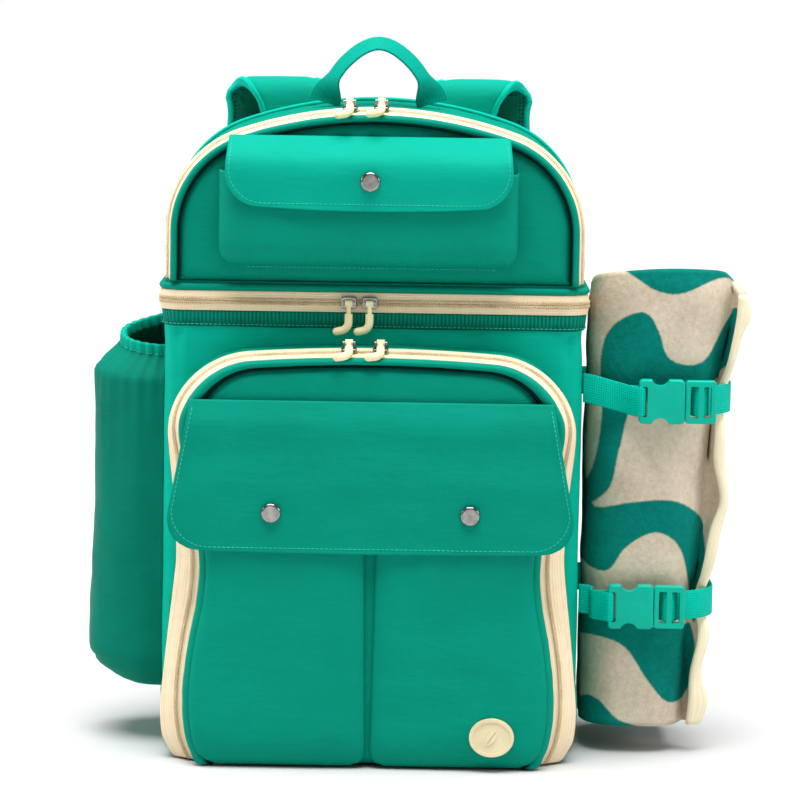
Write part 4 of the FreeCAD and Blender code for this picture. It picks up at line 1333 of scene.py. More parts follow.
def top_pocket_and_flap():
    box_low, box_high = low("top_pocket"), high("top_pocket")
    back = box_high.y
    pocket = pouch("top_pocket_cloth", box_low.x - 0.0030, box_high.x + 0.0010, box_low.z, box_high.z,
                   back - box_low.y - 0.0012, back, 31.0, square=7.0, base_round=0.020, corner=0.013)
    dress(pocket, "teal_nylon", "teal_nylon", "top_front", "top_pocket")
    tree = tree_of(pocket)
    foot = box_low.z - 0.0012
    seam = [Vector((box_low.x + 0.014 + (box_high.x - box_low.x - 0.028) * i / 60, 0, foot))
            for i in range(61)]
    stitches("top_pocket_stitches", seam, "top_front", Y_AXIS, tree)

    flap_low, flap_high = low("top_flap"), high("top_flap")
    middle = (flap_low.x + flap_high.x) / 2
    half = (flap_high.x - flap_low.x) / 2
    seam_y = flap_high.y
    knee_z = flap_high.z - 0.015
    front = flap_low.y + 0.0009
    fall = [(seam_y - 0.0018, flap_high.z - 0.0008), (seam_y - 0.0125, knee_z + 0.0085),
            (front + 0.0040, knee_z + 0.0006), (front + 0.0002, knee_z - 0.0090),
            (front, knee_z - 0.0220), (front + 0.0002, flap_low.z)]
    flap = Flap(middle - 0.0008, half - 0.0020, half + 0.0016, fall, 0.025)
    snap = (low("top_flap_snap") + high("top_flap_snap")) / 2
    cloth = flap.mesh("top_flap_cloth", [(snap.x, snap.z)], 41.0, bow=0.0022)
    # The lighter nylon is painted light on the flap's upturned face.
    dress(cloth, "teal_nylon_painted_lit", "teal_nylon", "top_flap", "top_flap")
    declare_flap(flap)
    tree = tree_of(cloth)
    stitches("top_flap_stitches", flap.edge(FLAP_MARGIN), "top_flap", Y_AXIS, tree)
    for side in (-1, 1):
        place = Vector((middle + side * (half + 0.0015), 0, box_high.z + 0.001))
        bar_tack(f"pocket_tack_{'right' if side < 0 else 'left'}", place, (X_AXIS + Z_AXIS).normalized(),
                 "top_front", tree_of(pocket))


def patch_pockets_and_flap():
    box_low, box_high = low("patch_pockets"), high("patch_pockets")
    inner = 0.0016
    patches = []
    for side, name in SIDES:
        ends = sorted((side * inner, side * box_high.x))

        def shift(edge, z, side=side):
            if edge == side:
                return side * (pocket_edge(z) - box_high.x)
            return side * 0.0026 * (z - box_low.z) / (box_high.z - box_low.z)

        cloth = pouch(f"patch_pocket_{name}", ends[0], ends[1], POCKET_FOOT, box_high.z,
                      box_high.y - box_low.y - 0.0004, box_high.y, 50.0 + side, square=4.2,
                      base_round=0.034, corner=0.010, flange=0.0008, shift=shift)
        patches.append(cloth)
        dress(cloth, "teal_nylon", "teal_nylon", "front_pocket")
    for cloth in patches:
        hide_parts("patch_pockets")

    flap_low, flap_high = low("lower_flap"), high("lower_flap")
    front = flap_low.y + 0.0009
    knee = flap_high.z - 0.040
    fall = [(flap_high.y - 0.0022, flap_high.z - 0.0008), (flap_high.y - 0.0070, flap_high.z - 0.016),
            (front + 0.0020, knee + 0.004), (front + 0.0002, knee - 0.014), (front, knee - 0.030),
            (front + 0.0003, flap_low.z)]
    flap = Flap(0.0, high("front_pocket_panel").x - 0.0012, flap_high.x + 0.0062, fall, 0.026)
    caps = low("lower_flap_snaps"), high("lower_flap_snaps")
    reach = (caps[1].x - caps[0].x) / 2 - 0.0066
    level = (caps[0].z + caps[1].z) / 2
    cloth = flap.mesh("lower_flap_cloth", [(-reach, level), (reach, level)], 61.0, bow=0.0010)
    dress(cloth, "teal_nylon", "teal_nylon", "lower_flap", "lower_flap")
    declare_flap(flap)
    stitches("lower_flap_stitches", flap.edge(FLAP_MARGIN), "lower_flap", Y_AXIS, tree_of(cloth))


# ---- bottle sleeve ------------------------------------------------------------------------------
MOUTH_SLOPE = 0.0175       # how much higher the sleeve's mouth is at the back than at the front


def sleeve():
    base, top = low("bottle_sleeve"), high("bottle_sleeve")
    wall = -BODY_HALF - 0.0003
    mouth = low("sleeve_rim").z - 0.0036
    shoulder = mouth - 0.019
    out_full = wall - base.x
    around, up = 120, 84
    gathers = 15

    def plan(out, front, back, r, s):
        """The D-shaped plan, s from 0 at the back of the wall round to 1 at its front."""
        r = min(r, out * 0.95, (back - front) / 2 - 0.001)
        legs = [out - r, math.pi / 2 * r, back - front - 2 * r, math.pi / 2 * r, out - r]
        at = s * sum(legs)
        if at <= legs[0]:
            return Vector((wall - at, back, 0)), Y_AXIS
        at -= legs[0]
        if at <= legs[1]:
            angle = at / r
            way = Vector((-math.sin(angle), math.cos(angle), 0))
            return Vector((wall - out + r, back - r, 0)) + way * r, way
        at -= legs[1]
        if at <= legs[2]:
            return Vector((wall - out, back - r - at, 0)), -X_AXIS
        at -= legs[2]
        if at <= legs[3]:
            angle = at / r
            way = Vector((-math.cos(angle), -math.sin(angle), 0))
            return Vector((wall - out + r, front + r, 0)) + way * r, way
        at -= legs[3]
        return Vector((wall - out + r + at, front, 0)), -Y_AXIS

    def level(rise):
        """The D-shaped plan's measures at this rise: out, front, back, corner radius and height."""
        height = base.z + rise
        # Round at its foot, drawn in by its elastic mouth, and leaning in a little in between.
        foot = (1 - (1 - min(rise / 0.028, 1.0)) ** 2.4) ** (1 / 2.4)
        drawn = ease((height - shoulder) / (mouth - shoulder))
        lean = 1.0 - 0.09 * ease(rise / (shoulder - base.z))
        out = max(out_full * lean * foot - 0.017 * drawn, 0.0006)
        front = base.y + 0.017 * drawn + 0.012 * (1 - foot)
        back = top.y - 0.016 * drawn - 0.012 * (1 - foot)
        return out, front, back, 0.040 - 0.012 * drawn, height

    def surface(rise, s):
        out, front, back, r, height = level(rise)
        p, way = plan(out, front, back, r, s)
        at = p + Z_AXIS * height
        # Gathers that run down from the mouth.
        near = math.exp(-max(mouth - height, 0.0) / 0.030)
        wave = math.sin(2 * math.pi * gathers * s + 1.8 * wander((s * 0.4, 0, 0), 0.05, 3.0))
        move = 0.0017 * near * wave * (0.6 + 0.4 * wander((s, 0, 0), 0.2, 6.0))
        # The seam of the sleeve's base, and folds that run mostly upright.
        seam = bell((rise - 0.017) / 0.0022) * bell((s - 0.62) / 0.2)
        move -= 0.0020 * seam
        move += 0.0016 * wander((at.x * 1.6, at.y * 1.6, at.z * 0.35), 0.030, 71.0)
        move += 0.0008 * wander(at, 0.02, 75.0)
        move *= min(out / 0.02, 1.0)
        at.z += MOUTH_SLOPE * near * (1 - s) ** 1.5
        return at + way * move

    rows = [[surface((mouth - base.z) * (j / up) ** 1.12, i / around) for i in range(around + 1)]
            for j in range(up + 1)]
    cloth = sheet("bottle_sleeve_cloth", rows, -X_AXIS)
    # The darker nylon is painted shade on the sleeve.
    dress(cloth, "teal_nylon_painted_shade", "teal_nylon", "cooler_body", "bottle_sleeve")

    lip = rows[-1]
    stations = []
    for p, ahead in zip(lip, headings(lip)):
        out = ahead.cross(Z_AXIS).normalized()
        if out.dot(p - Vector((wall, (base.y + top.y) / 2, p.z))) < 0:
            out.negate()
        stations.append((p, out, Z_AXIS))
    fold = moved_section(rounded_section(0.0034, 0.0080, 0.0014), -0.0006, 0.0002)
    # Its binding takes the lighter nylon: painted light.
    swept("sleeve_binding", stations, fold, "teal_nylon_painted_lit", "teal_binding", "cooler_body",
          "sleeve_rim")
    path = [p + out * 0.0012 - Z_AXIS * 0.0028 for p, out, _ in stations]
    stitches("sleeve_binding_stitches", path, "cooler_body")


# ---- blanket ------------------------------------------------------------------------------------
ROLL_PLY = 0.0052          # one folded ply of the blanket
ROLL_TURNS = 6.3
ROLL_CORNER = 0.034
ROLL_ROWS = 96
CINCH_REACH = 0.017        # how far above and below its middle a strap draws the roll in
END_REACH = 0.014          # how far down the roll is drawn in at its upper end
PRINT_TURNS_AT = 0.02      # the y behind which the print is seen turned over
HANGING = 0.034            # length of cloth that hangs free beside the bound edge


def roll_outline(inset, step):
    """The roll's plan set in by this much: a closed loop from the middle of its +X side, passing the
    front first."""
    base, top = low("blanket_roll"), high("blanket_roll")
    x0, x1 = base.x + inset, top.x - inset - 0.004
    y0, y1 = base.y + inset, top.y - inset
    r = max(min(ROLL_CORNER - inset, (x1 - x0) / 2 - 0.0005, (y1 - y0) / 2 - 0.0005), 0.001)
    middle = (y0 + y1) / 2
    plan = Plan(r, step, 1, 3, -1)
    plan.straight(x1, middle, x1, y0 + r, X_AXIS)
    plan.corner(x1 - r, y0 + r, 0.0)
    plan.straight(x1 - r, y0, x0 + r, y0, -Y_AXIS)
    plan.corner(x0 + r, y0 + r, -math.pi / 2)
    plan.straight(x0, y0 + r, x0, y1 - r, -X_AXIS)
    plan.corner(x0 + r, y1 - r, math.pi)
    plan.straight(x0 + r, y1, x1 - r, y1, Y_AXIS)
    plan.corner(x1 - r, y1 - r, math.pi / 2)
    plan.straight(x1, y1 - r, x1, middle, X_AXIS)
    return plan.places


SPIRAL_STEP = 0.0055       # spacing of the points along the rolled-up line
OUTER_TURN = 60            # points in about its outer turn
TURN_LONG = 0.33           # length of about one turn


def spiral():
    """The rolled-up line, from the outer edge inwards: (point, outward)."""
    outer = roll_outline(0.0, 0.002)
    line = []
    count = len(outer)
    total = int(count * ROLL_TURNS)
    middle = sum((p for p, _ in outer), Vector()) / count
    for i in range(total):
        p, out = outer[i % count]
        turn = i / count
        inset = 0.0026 + turn * (ROLL_PLY + 0.0024)
        reach = (p - middle).length
        share = max((reach - inset * 1.03) / reach, 0.02)
        line.append((middle + (p - middle) * share, out))
    picked = [line[0]]
    for item in line:
        if (item[0] - picked[-1][0]).length >= SPIRAL_STEP:
            picked.append(item)
    return picked


# The blanket's print: broad dark waves as smooth outlines through these points, each (x, height) in
# millimetres as seen from the front.
BLANKET_SHAPES = (
    ((165, 346), (253, 347), (250, 325), (232, 327), (205, 317), (182, 324)),
    ((157, 275), (165, 296), (183, 305), (193, 292), (201, 273), (222, 271), (238, 297), (251, 307),
     (252, 288), (240, 263), (210, 248), (178, 240), (169, 212), (164, 185), (153, 169), (180, 175),
     (210, 174), (230, 151), (232, 115), (225, 86), (218, 110), (210, 143), (195, 154), (175, 144),
     (162, 126), (144, 135), (138, 160), (152, 192), (158, 230)),
    ((138, 99), (170, 93), (200, 87), (220, 87), (227, 70), (222, 41), (205, 35), (192, 50),
     (175, 74), (155, 81), (139, 76)),
    ((148, 14), (150, 36), (160, 36), (172, 23), (196, 16)),
)
# The roll's outer side, and the middle and half width of the bound edge that hangs beside it:
# (height, x) and (height, x, half width) in millimetres.
ROLL_EDGE = ((18, 216), (70, 218), (150, 226), (205, 228), (260, 236), (300, 243), (330, 244))
BOUND_EDGE = ((18, 225, 5), (35, 228, 7), (55, 226, 4), (85, 232, 4), (105, 231, 3), (135, 234, 4),
              (155, 237, 4), (175, 242, 3), (205, 238, 4), (240, 241, 3), (290, 248, 3),
              (312, 252, 5), (331, 251, 3))


def depth_inside(x, z, outline):
    """How deep inside a closed outline a place is, in metres; below 0 is outside."""
    nearest = 1.0
    inside = False
    for (x0, z0), (x1, z1) in zip(outline, outline[1:] + outline[:1]):
        dx, dz = x1 - x0, z1 - z0
        t = min(max(((x - x0) * dx + (z - z0) * dz) / max(dx * dx + dz * dz, 1e-12), 0.0), 1.0)
        nearest = min(nearest, math.hypot(x - x0 - dx * t, z - z0 - dz * t))
        if (z0 > z) != (z1 > z) and x < x0 + (z - z0) * dx / dz:
            inside = not inside
    return nearest if inside else -nearest


def blanket_dark(x, z, outlines):
    """The depth in the outline that holds this place, with a quick way out for places far off."""
    best = -0.02
    for outline, (x0, x1, z0, z1) in outlines:
        if x0 - 0.012 < x < x1 + 0.012 and z0 - 0.012 < z < z1 + 0.012:
            best = max(best, depth_inside(x, z, outline))
    return best


def blanket_outlines():
    outlines = []
    for shape in BLANKET_SHAPES:
        smooth = smooth_path([Vector((x * MM, z * MM, 0)) for x, z in shape], 0.003, closed=True)
        points = [(p.x, p.y) for p in smooth]
        xs, zs = [p[0] for p in points], [p[1] for p in points]
        outlines.append((points, (min(xs), max(xs), min(zs), max(zs))))
    return outlines


def column(table, z, index):
    """Column index of a table whose first column is a height, at height z, all in millimetres."""
    return between([(row[0], row[index]) for row in table], z)


def blanket_look():
    """Brushed fleece: beige with large dark waves, a soft nap and a fine grain of fibres."""
    look = Look("blanket_fleece", 0.95, shine=0.1)
    inside = look.node("ShaderNodeAttribute", attribute_name="dark").outputs["Fac"]
    fray = look.sum(look.sum(look.noise(900.0, 2.0), -0.5), 0.0012, "MULTIPLY")
    edge = look.node("ShaderNodeMapRange", {
        "Value": look.sum(inside, fray), "From Min": -0.0006, "From Max": 0.0006}).outputs["Result"]
    nap = look.noise(260.0, 4.0, None, 0.7)
    cloud = look.noise(26.0, 3.0)
    tone = look.sum(look.sum(nap, 0.6, "MULTIPLY"), look.sum(cloud, 0.4, "MULTIPLY"))
    beige = look.ramp(tone, [(0.3, linear(188, 172, 150)), (0.68, linear(224, 210, 188))])
    teal = look.ramp(tone, [(0.3, linear(0, 104, 94)), (0.68, linear(2, 134, 122))])
    look.colour(look.blend(edge, beige, teal))
    look.bumps((nap, 0.0011, 0.55), (look.noise(2200.0, 2.0), 0.0003, 0.5))
    return look.material


def blanket():
    base, top = low("blanket_roll"), high("blanket_roll")
    line = spiral()
    lengths = running_lengths([p for p, _ in line])
    outlines = blanket_outlines()
    wall = base.x
    full = max(p.x for p, _ in line[:OUTER_TURN]) - wall
    front = min(p.y for p, _ in line[:OUTER_TURN])
    heights = [base.z + (top.z - base.z) * j / ROLL_ROWS for j in range(ROLL_ROWS + 1)]
    cinches = [(low(f"buckle_clip_{n}").z + high(f"buckle_clip_{n}").z) / 2 for n in ("upper", "lower")]
    rows, edge = [], []
    for z in heights:
        row = []
        # At this height: the roll's width, the bound edge, the pull of the straps and of the end.
        share = (z - base.z) / (top.z - base.z)
        squeeze = (column(ROLL_EDGE, z, 1) - wall) / full
        bound = column(BOUND_EDGE, z, 1)
        pinch = sum(bell((z - c) / CINCH_REACH) for c in cinches)
        end = 1 - ease((top.z - z) / END_REACH)
        for (p, out), u in zip(line, lengths):
            # Folds of the outer turns, drawn in under the straps and at the upper end.
            outer = math.exp(-u / 0.35)
            at = Vector((p.x, p.y, z))
            move = -0.0024 * pinch * outer
            move += outer * 0.0034 * wander((at.x, at.y, at.z * 0.8), 0.050, 81.0)
            move += outer * 0.0014 * wander(at, 0.022, 85.0) * (1 + 1.2 * pinch)
            move -= 0.0022 * end * outer
            move = min(move, 0.0015)
            q = at + out * move
            q.x = wall + (q.x - wall) * squeeze
            # The bound edge hangs beside the roll, nearer the front.
            flare = 1 - ease(u / HANGING)
            q.x += (bound - 0.0006 - q.x) * flare
            q.x -= 0.0032 * (1 - (q.x - wall) / full) + 0.0040 * pinch * flare
            q.y += (front + 0.012 + 0.008 * pinch - q.y) * flare
            # The upper end: a crest at the front, lower turns behind it and a curl at the bag's side.
            crest = 0.0066 * bell((p.x - 0.203) / 0.05) * ease((0.02 - p.y) / 0.04) * math.exp(-u / 0.2)
            fall = 0.0175 * ease((p.y - front) / 0.075) + 0.004 * ease(u / 0.5)
            curl = 0.007 * bell((p.x - 0.158) / 0.014) * ease(p.y / 0.03)
            q.z += (crest - fall + curl) * ease((share - 0.82) / 0.18)
            row.append(q)
        rows.append(row)
        edge.append((row[0], column(BOUND_EDGE, z, 2)))
    roll = grid("blanket_roll_cloth", rows)
    dark = roll.data.attributes.new("dark", "FLOAT", "POINT")
    values = []
    for row in rows:
        for q, u in zip(row, lengths):
            # The print is mirrored on every second turn, and upside down behind the roll.
            turn = int(u / TURN_LONG)
            x = q.x if turn % 2 == 0 else 2 * wall + full - q.x
            z = q.z if q.y < PRINT_TURNS_AT else base.z + top.z - q.z
            values.append(blanket_dark(x, z, outlines))
    dark.data.foreach_set("value", values)
    thicken(roll, ROLL_PLY, 0.0)
    dress(roll, blanket_look(), "blanket_cloth", "blanket", "blanket_roll")

    stations = []
    for p, _ in edge:
        twist = 0.35 * math.sin(p.z / 0.023)
        a = Vector((math.cos(twist), math.sin(twist), 0))
        stations.append((Vector((p.x, p.y - 0.0030, p.z)), a, Vector((-a.y, a.x, 0))))

    def section(i):
        half = max(edge[i][1], 0.0022)
        return rounded_section(2 * half, 0.0062, 0.0026)

    swept("blanket_binding_cloth", stations, section, "blanket_edge", "blanket_edge", "blanket",
          "blanket_binding")


# ---- webbing and buckles ------------------------------------------------------------------------
STRAP_WIDTH = 0.020
WEBBING_THICK = 0.0015
BUCKLE_FRAME = 0.021       # length of the clip's frame that the webbing goes round
SOCKET_LONG = 0.0314       # from the clip's frame back to the webbing's end of the socket
WEBBING_DEPTH = 0.0091     # from the clips' front back to the webbing that runs behind them
ROLL_BEND = 0.034          # radius of the rear strap's bends round the blanket
BEND_STEPS = 6


def ribbon(name, points, body, nodes, step=0.003):
    """Strap webbing along a smooth path, standing on its edge."""
    line = smooth_path(points, step)
    stations = [(p, ahead.cross(Z_AXIS).normalized(), Z_AXIS) for p, ahead in zip(line, headings(line))]

    def section(i):
        lift = 0.0002 * wander(line[i], 0.012, 5.0)
        flat = rounded_section(WEBBING_THICK, STRAP_WIDTH, WEBBING_THICK * 0.45)
        return moved_section(flat, lift, 0.0)

    swept(name, stations, section, "teal_webbing", "teal_webbing", body, *nodes)


def blanket_straps():
    """The front strap into the buckle's socket, the rear one round the blanket into its clip, and
    the webbing round the clip's bar."""
    body_side = BODY_HALF + 0.0008
    back = high("blanket_straps").y - 0.0009
    r = ROLL_BEND
    plane = low("buckle_clip_upper").y + WEBBING_DEPTH
    for level in ("upper", "lower"):
        clip_low, clip_high = low(f"buckle_clip_{level}"), high(f"buckle_clip_{level}")
        middle = (clip_low.z + clip_high.z) / 2
        frame_end = clip_high.x
        frame_start = frame_end - BUCKLE_FRAME
        left = frame_start - SOCKET_LONG
        right = frame_end + (0.0215 if level == "lower" else 0.0125)

        def at(x, y, dz=0.0):
            return Vector((x, y, middle + dz))

        slope = 0.0075 if level == "upper" else 0.0035
        front_path = [at(body_side, plane + 0.004, slope), at(body_side + 0.009, plane + 0.0006, slope * 0.8),
                      at(left - 0.012, plane - 0.001, slope * 0.25), at(left - 0.0036, plane - 0.0062),
                      at(left + 0.0002, plane - 0.0099), at(left + 0.0022, plane - 0.0098),
                      at(left + 0.0041, plane - 0.0078), at(left + 0.0040, plane - 0.0030),
                      at(left + 0.0010, plane - 0.0006), at(left - 0.0080, plane + 0.0003)]
        ribbon(f"strap_front_{level}", front_path, "cooler_body", ["blanket_straps"])
        rear_path = [at(frame_start + 0.001, plane + 0.0004), at(frame_start + 0.010, plane + 0.0002),
                     at(right - r, plane + 0.0002)]
        for i in range(1, BEND_STEPS + 1):
            angle = -math.pi / 2 + math.pi / 2 * i / BEND_STEPS
            rear_path.append(at(right - r + r * math.cos(angle), plane + r + r * math.sin(angle)))
        rear_path.append(at(right, (plane + back) / 2))
        for i in range(BEND_STEPS + 1):
            angle = math.pi / 2 * i / BEND_STEPS
            rear_path.append(at(right - r + r * math.cos(angle), back - r + r * math.sin(angle)))
        rear_path += [at((right + body_side) / 2, back), at(body_side + 0.010, back),
                      at(body_side, back - 0.006)]
        ribbon(f"strap_rear_{level}", rear_path, "cooler_body", ["blanket_straps"])
        bar = frame_start + 0.0105
        front_y = clip_low.y + 0.0012
        fold_path = [at(bar - 0.0052, plane - 0.0014), at(bar - 0.0036, front_y + 0.0028),
                     at(bar - 0.0018, front_y + 0.0006), at(bar, front_y + 0.0001),
                     at(bar + 0.0018, front_y + 0.0006), at(bar + 0.0036, front_y + 0.0028),
                     at(bar + 0.0052, plane - 0.0014)]
        ribbon(f"clip_webbing_{level}", fold_path, f"clip_{level}", [], step=0.0012)


# ---- handle -------------------------------------------------------------------------------------
HANDLE_WIDTH = 0.0225
HANDLE_CURLED = 0.0050     # how much narrower the handle's webbing is over its top, where it curls
HANDLE_EDGE_ON = 62        # degrees that it turns from facing the front to its top


def carry_handle():
    """Flat webbing: its feet face the front, and it turns edge-on to the front over the top."""
    base, top = low("carry_handle"), high("carry_handle")
    middle_y = (base.y + top.y) / 2
    half = top.x - 0.0100
    foot = base.z - 0.001
    rise = top.z - foot - 0.0022
    side = [(1.0, 0.0), (0.93, 0.20), (0.80, 0.43), (0.60, 0.68), (0.30, 0.91)]
    profile = [(-x, z) for x, z in side] + [(0.0, 1.0)] + side[::-1]
    line = smooth_path([Vector((x * half, middle_y, foot + z * rise)) for x, z in profile], 0.0016)
    turns = [ease(((p.z - foot) / rise - 0.04) / 0.44) for p in line]
    for p, lean in zip(line, turns):
        p.y -= 0.004 * lean
    stations = []
    for p, ahead, lean in zip(line, headings(line), turns):
        out = Y_AXIS.cross(ahead).normalized()
        if out.dot(p - Vector((0, middle_y, foot))) < 0:
            out.negate()
        tilt = math.radians(90 - HANDLE_EDGE_ON * lean)
        wide = out * math.sin(tilt) + Y_AXIS * math.cos(tilt)
        face = ahead.cross(wide).normalized()
        stations.append((p, wide, face))

    def section(i):
        wide = HANDLE_WIDTH - HANDLE_CURLED * turns[i]
        points = []
        for a, b in rounded_section(wide, 0.0019, 0.0008, 2):
            curl = 0.0012 * turns[i] * (2 * a / wide) ** 2
            points.append((a, b + curl))
        return points

    loop = swept("carry_handle_webbing", stations, section, "teal_webbing_wide", "teal_webbing", None,
                 "carry_handle")
    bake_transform(loop)


# ---- shoulder straps and back pad ---------------------------------------------------------------
PAD_THICK = 0.0090
PAD_SIDES = 28             # points round a shoulder strap's section


def shoulder_strap(sign, name):
    """Padded strap: from its seam on the top compartment over and down to its ladder lock."""
    uppers_low, uppers_high = low("strap_uppers"), high("strap_uppers")
    lowers_low = low("strap_lowers")
    inner = uppers_low.y
    outer = uppers_high.y
    pad = PAD_THICK
    top = uppers_high.z
    middle_y = (inner + outer) / 2
    r = (outer - inner) / 2 - pad / 2
    turn = top - (outer - inner) / 2
    seam_x, top_x = 0.055, 0.068
    back_x = 0.078
    end_x = high("strap_lowers").x - 0.027
    points = [(seam_x - 0.003, inner + pad / 2 + 0.0006, 0.400), (seam_x, inner + pad / 2, 0.422),
              (seam_x + 0.003, inner + pad / 2, turn - 0.004)]
    for i in range(7):
        angle = math.pi - math.pi * i / 6
        points.append((seam_x + 0.005 + (top_x + 0.008 - seam_x) * i / 6, middle_y + r * math.cos(angle),
                       turn + (top - turn - pad / 2) * math.sin(angle)))
    points += [(back_x + 0.001, outer - pad / 2, turn - 0.012), (back_x + 0.002, outer - pad / 2, 0.400),
               (back_x, outer - pad / 2, 0.340), (back_x, outer - pad / 2 - 0.0005, 0.280),
               (back_x + 0.008, outer - pad / 2, 0.220), (end_x, outer - pad / 2, lowers_low.z + 0.002)]
    line = smooth_path([Vector((sign * x, y, z)) for x, y, z in points], 0.005)
    lengths = running_lengths(line)
    stations = []
    for p, ahead in zip(line, headings(line)):
        face = Vector((0, ahead.y, ahead.z)).normalized().cross(X_AXIS)
        if face.dot(Vector((0, p.y - middle_y, max(p.z - turn, 0.0)))) < 0:
            face.negate()
        stations.append((p, X_AXIS, face))

    def half_width(i):
        tip = ease((lengths[i] - lengths[-1] + 0.022) / 0.022)
        return 0.0245 + 0.0035 * ease(lengths[i] / 0.06) - 0.009 * tip

    def section(i):
        wide = half_width(i) - 0.0012
        points = []
        for k in range(PAD_SIDES):
            angle = 2 * math.pi * k / PAD_SIDES
            c, s = math.cos(angle), math.sin(angle)
            a = math.copysign(abs(c) ** 0.42, c) * wide
            b = math.copysign(abs(s) ** 0.75, s) * pad / 2
            at = stations[i][0] + stations[i][1] * a
            b *= 0.90 + 0.10 * wander(at, 0.03, 91.0 + sign)
            b += 0.0005 * wander(at, 0.014, 95.0)
            points.append((a, b))
        return points

    strap = sweep(f"shoulder_strap_{name}", stations, section)
    # The lighter nylon on its face is painted light.
    dress(strap, "teal_nylon_painted_lit", "teal_nylon", None, "strap_uppers", "strap_lowers")
    strap.data.materials.append(LOOKS["teal_mesh"])
    for polygon in strap.data.polygons:
        near = min(stations, key=lambda item: (item[0] - polygon.center).length_squared)
        if polygon.normal.dot(near[2]) < -0.35:
            polygon.material_index = 1
    pieces = [strap]
    for side in (-1, 1):
        edge = [(o + a * (side * (half_width(i) - 0.0014)), a, b) for i, (o, a, b) in enumerate(stations)]
        band = sweep(f"strap_binding_{name}_{'inner' if side * sign < 0 else 'outer'}", edge,
                     rounded_section(0.0050, pad * 0.80, 0.0022))
        dress(band, "teal_binding", "teal_binding", None)
        pieces.append(band)
    for piece in pieces:
        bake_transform(piece)


VOXEL = 0.005
CLOTH_FRAMES = 20


def swollen(obj, pressure, cap):
    """Blows the closed piece up as cloth, and keeps each point within cap of where it was."""
    remesh = obj.modifiers.new("even", "REMESH")
    remesh.mode = "VOXEL"
    remesh.voxel_size = VOXEL
    remesh.use_smooth_shade = True
    applied(obj)
    start = [v.co.copy() for v in obj.data.vertices]
    cloth = obj.modifiers.new("cloth", "CLOTH")
    cloth.settings.quality = 6
    cloth.settings.mass = 0.3
    cloth.settings.use_pressure = True
    cloth.settings.uniform_pressure_force = pressure
    cloth.settings.tension_stiffness = 18
    cloth.settings.shear_stiffness = 12
    cloth.settings.bending_stiffness = 0.6
    cloth.settings.effector_weights.gravity = 0.0
    cloth.point_cache.frame_end = CLOTH_FRAMES
    for number in range(1, CLOTH_FRAMES + 1):
        bpy.context.scene.frame_set(number)
    applied(obj)
    bpy.context.scene.frame_set(1)
    for v, before in zip(obj.data.vertices, start):
        move = v.co - before
        if move.length > cap:
            v.co = before + move.normalized() * cap
    return smoothed(obj)


def back_pad():
    """Padded mesh panel with sewn channels and a bound edge."""
    base, top = low("back_pad"), high("back_pad")
    inset = 0.0024
    half = top.x - inset
    middle_z = (base.z + top.z) / 2
    tall = (top.z - base.z) / 2 - inset
    rows = []
    across, up = 60, 84
    for j in range(up + 1):
        t = -1 + 2 * j / up
        row = []
        for i in range(across + 1):
            s = -1 + 2 * i / across
            rounding = (1 - max(abs(s) - 0.86, 0) ** 2 * 12 * max(abs(t) - 0.9, 0) * 10)
            row.append(Vector((s * half * rounding, base.y + 0.0004, middle_z + t * tall)))
        rows.append(row)
    pad = thicken(face_toward(grid("back_pad_cloth", rows), Y_AXIS), top.y - base.y - 0.0030, 1.0)
    outward(pad)
    swollen(pad, 4.0, 0.006)
    for v in pad.data.vertices:
        p = v.co
        if p.y < base.y + 0.0035:
            p.y = max(p.y, base.y + 0.0001)
            continue
        channel = 0.0
        for x in (-half / 3, half / 3):
            channel = max(channel, bell((p.x - x) / 0.0042))
        for k in range(-2, 3):
            level = middle_z + k * tall * 0.38 + 0.10 * abs(p.x)
            channel = max(channel, bell((p.z - level) / 0.0042))
        p.y -= 0.0052 * channel
        p.y += 0.0004 * wander(p, 0.02, 99.0)
        p.y = min(p.y, top.y + 0.003)
    dress(pad, "teal_mesh", "teal_mesh", "cooler_body", "back_pad")
    corners = [(-half, base.z + inset), (half, base.z + inset), (half, top.z - inset), (-half, top.z - inset)]
    radius = 0.012
    path = []
    for (cx, cz), (sx, sz), first in zip(corners, ((1, 1), (-1, 1), (-1, -1), (1, -1)),
                                         (math.pi, 1.5 * math.pi, 0.0, 0.5 * math.pi)):
        for i in range(7):
            angle = first + math.pi / 2 * i / 6
            path.append(Vector((cx + sx * radius + radius * math.cos(angle), base.y + 0.003,
                                cz + sz * radius + radius * math.sin(angle))))
    line = smooth_path(path, 0.004, closed=True)
    stations = [(p, ahead.cross(Y_AXIS).normalized(), Y_AXIS)
                for p, ahead in zip(line, headings(line, closed=True))]
    band = sweep("back_pad_binding", stations, rounded_section(0.0050, 0.0056, 0.0022), closed=True)
    dress(band, "teal_binding", "teal_binding", "cooler_body")


TAB_X = 0.118              # how far out the adjusting webbing ends at the bag's foot
ADJUSTER = (0.0245, WEBBING_THICK, 0.0007)     # width, thickness and edge radius of its webbing
TAB_ROWS, TAB_COLUMNS = 8, 10


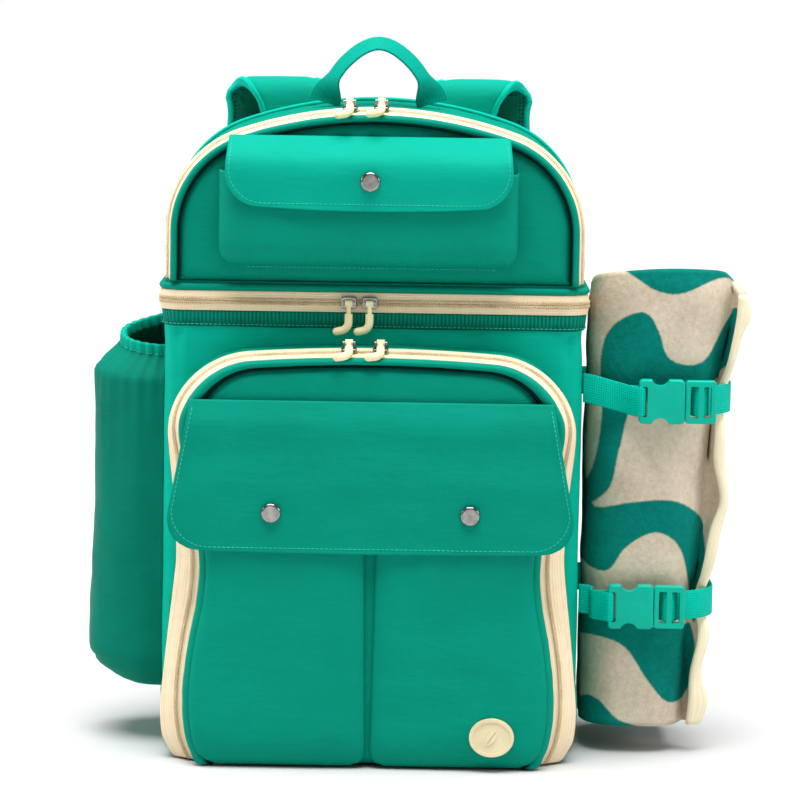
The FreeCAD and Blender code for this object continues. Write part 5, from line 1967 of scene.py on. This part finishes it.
def adjuster_straps():
    """Webbing from each ladder lock down to a sewn tab at the bag's foot, and the webbing that holds
    the lock to its strap."""
    for sign, name in SIDES:
        lock_low, lock_high = low(f"ladder_lock_{name}"), high(f"ladder_lock_{name}")
        middle = (lock_low + lock_high) / 2
        top_y = middle.y
        points = [Vector((middle.x, top_y - 0.0006, middle.z - 0.0005)),
                  Vector((middle.x, top_y - 0.0045, middle.z - 0.010)),
                  Vector((middle.x + sign * 0.002, top_y - 0.0058, middle.z - 0.022)),
                  Vector((sign * (abs(middle.x) + TAB_X) / 2, (top_y + BODY_BACK) / 2 - 0.001, 0.080)),
                  Vector((sign * TAB_X, BODY_BACK + 0.0024, 0.032))]
        line = smooth_path(points, 0.004)
        stations = []
        for p, ahead in zip(line, headings(line)):
            across = (X_AXIS - ahead * ahead.dot(X_AXIS)).normalized()
            stations.append((p, across, ahead.cross(across).normalized()))
        swept(f"adjuster_webbing_{name}", stations, rounded_section(*ADJUSTER), "teal_webbing",
              "teal_webbing", "cooler_body", "adjuster_webbing")
        tab_rows = []
        for j in range(TAB_ROWS + 1):
            t = j / TAB_ROWS
            half = 0.0165 - 0.003 * t
            z = 0.012 + 0.036 * t
            centre = sign * (TAB_X + 0.004 - 0.004 * t)
            tab_rows.append([Vector((centre + half * (-1 + 2 * i / TAB_COLUMNS),
                                     BODY_BACK + 0.0016 + 0.0006 * wander((i, j, 0), 2.0, 3.0), z))
                             for i in range(TAB_COLUMNS + 1)])
        tab = sheet(f"corner_tab_{name}", tab_rows, Y_AXIS, 0.0014)
        dress(tab, "teal_nylon", "teal_nylon", "cooler_body", "adjuster_webbing")
        tree = tree_of(tab)
        cross = [Vector((sign * TAB_X + dx, 0, z)) for dx, z in
                 ((-0.011, 0.020), (0.011, 0.020), (0.011, 0.040), (-0.011, 0.040), (-0.011, 0.020),
                  (0.011, 0.040), (-0.011, 0.040), (0.011, 0.020))]
        stitches(f"corner_tab_stitches_{name}", cross, "cooler_body", -Y_AXIS, tree)
        loop = [Vector((middle.x, top_y + 0.0002, lock_high.z - 0.0105)),
                Vector((middle.x, top_y - 0.0040, lock_high.z - 0.0070)),
                Vector((middle.x, top_y - 0.0042, lock_high.z + 0.0050)),
                Vector((middle.x, top_y - 0.0042, lock_high.z + 0.0160))]
        fold = smooth_path(loop, 0.002)
        stations = [(p, X_AXIS, ahead.cross(X_AXIS).normalized())
                    for p, ahead in zip(fold, headings(fold))]
        swept(f"lock_keeper_{name}", stations, rounded_section(*ADJUSTER), "teal_webbing",
              "teal_webbing", "cooler_body")


def place_everything():
    studio()
    finish_nodes()
    zips()
    top_compartment()
    front_pocket()
    cooler_shell()
    rim_strip()
    base_floor()
    hinge_tape()
    lid_edge()
    top_pocket_and_flap()
    patch_pockets_and_flap()
    sleeve()
    blanket()
    blanket_straps()
    carry_handle()
    for sign, name in SIDES:
        shoulder_strap(sign, name)
    back_pad()
    adjuster_straps()


place_everything()
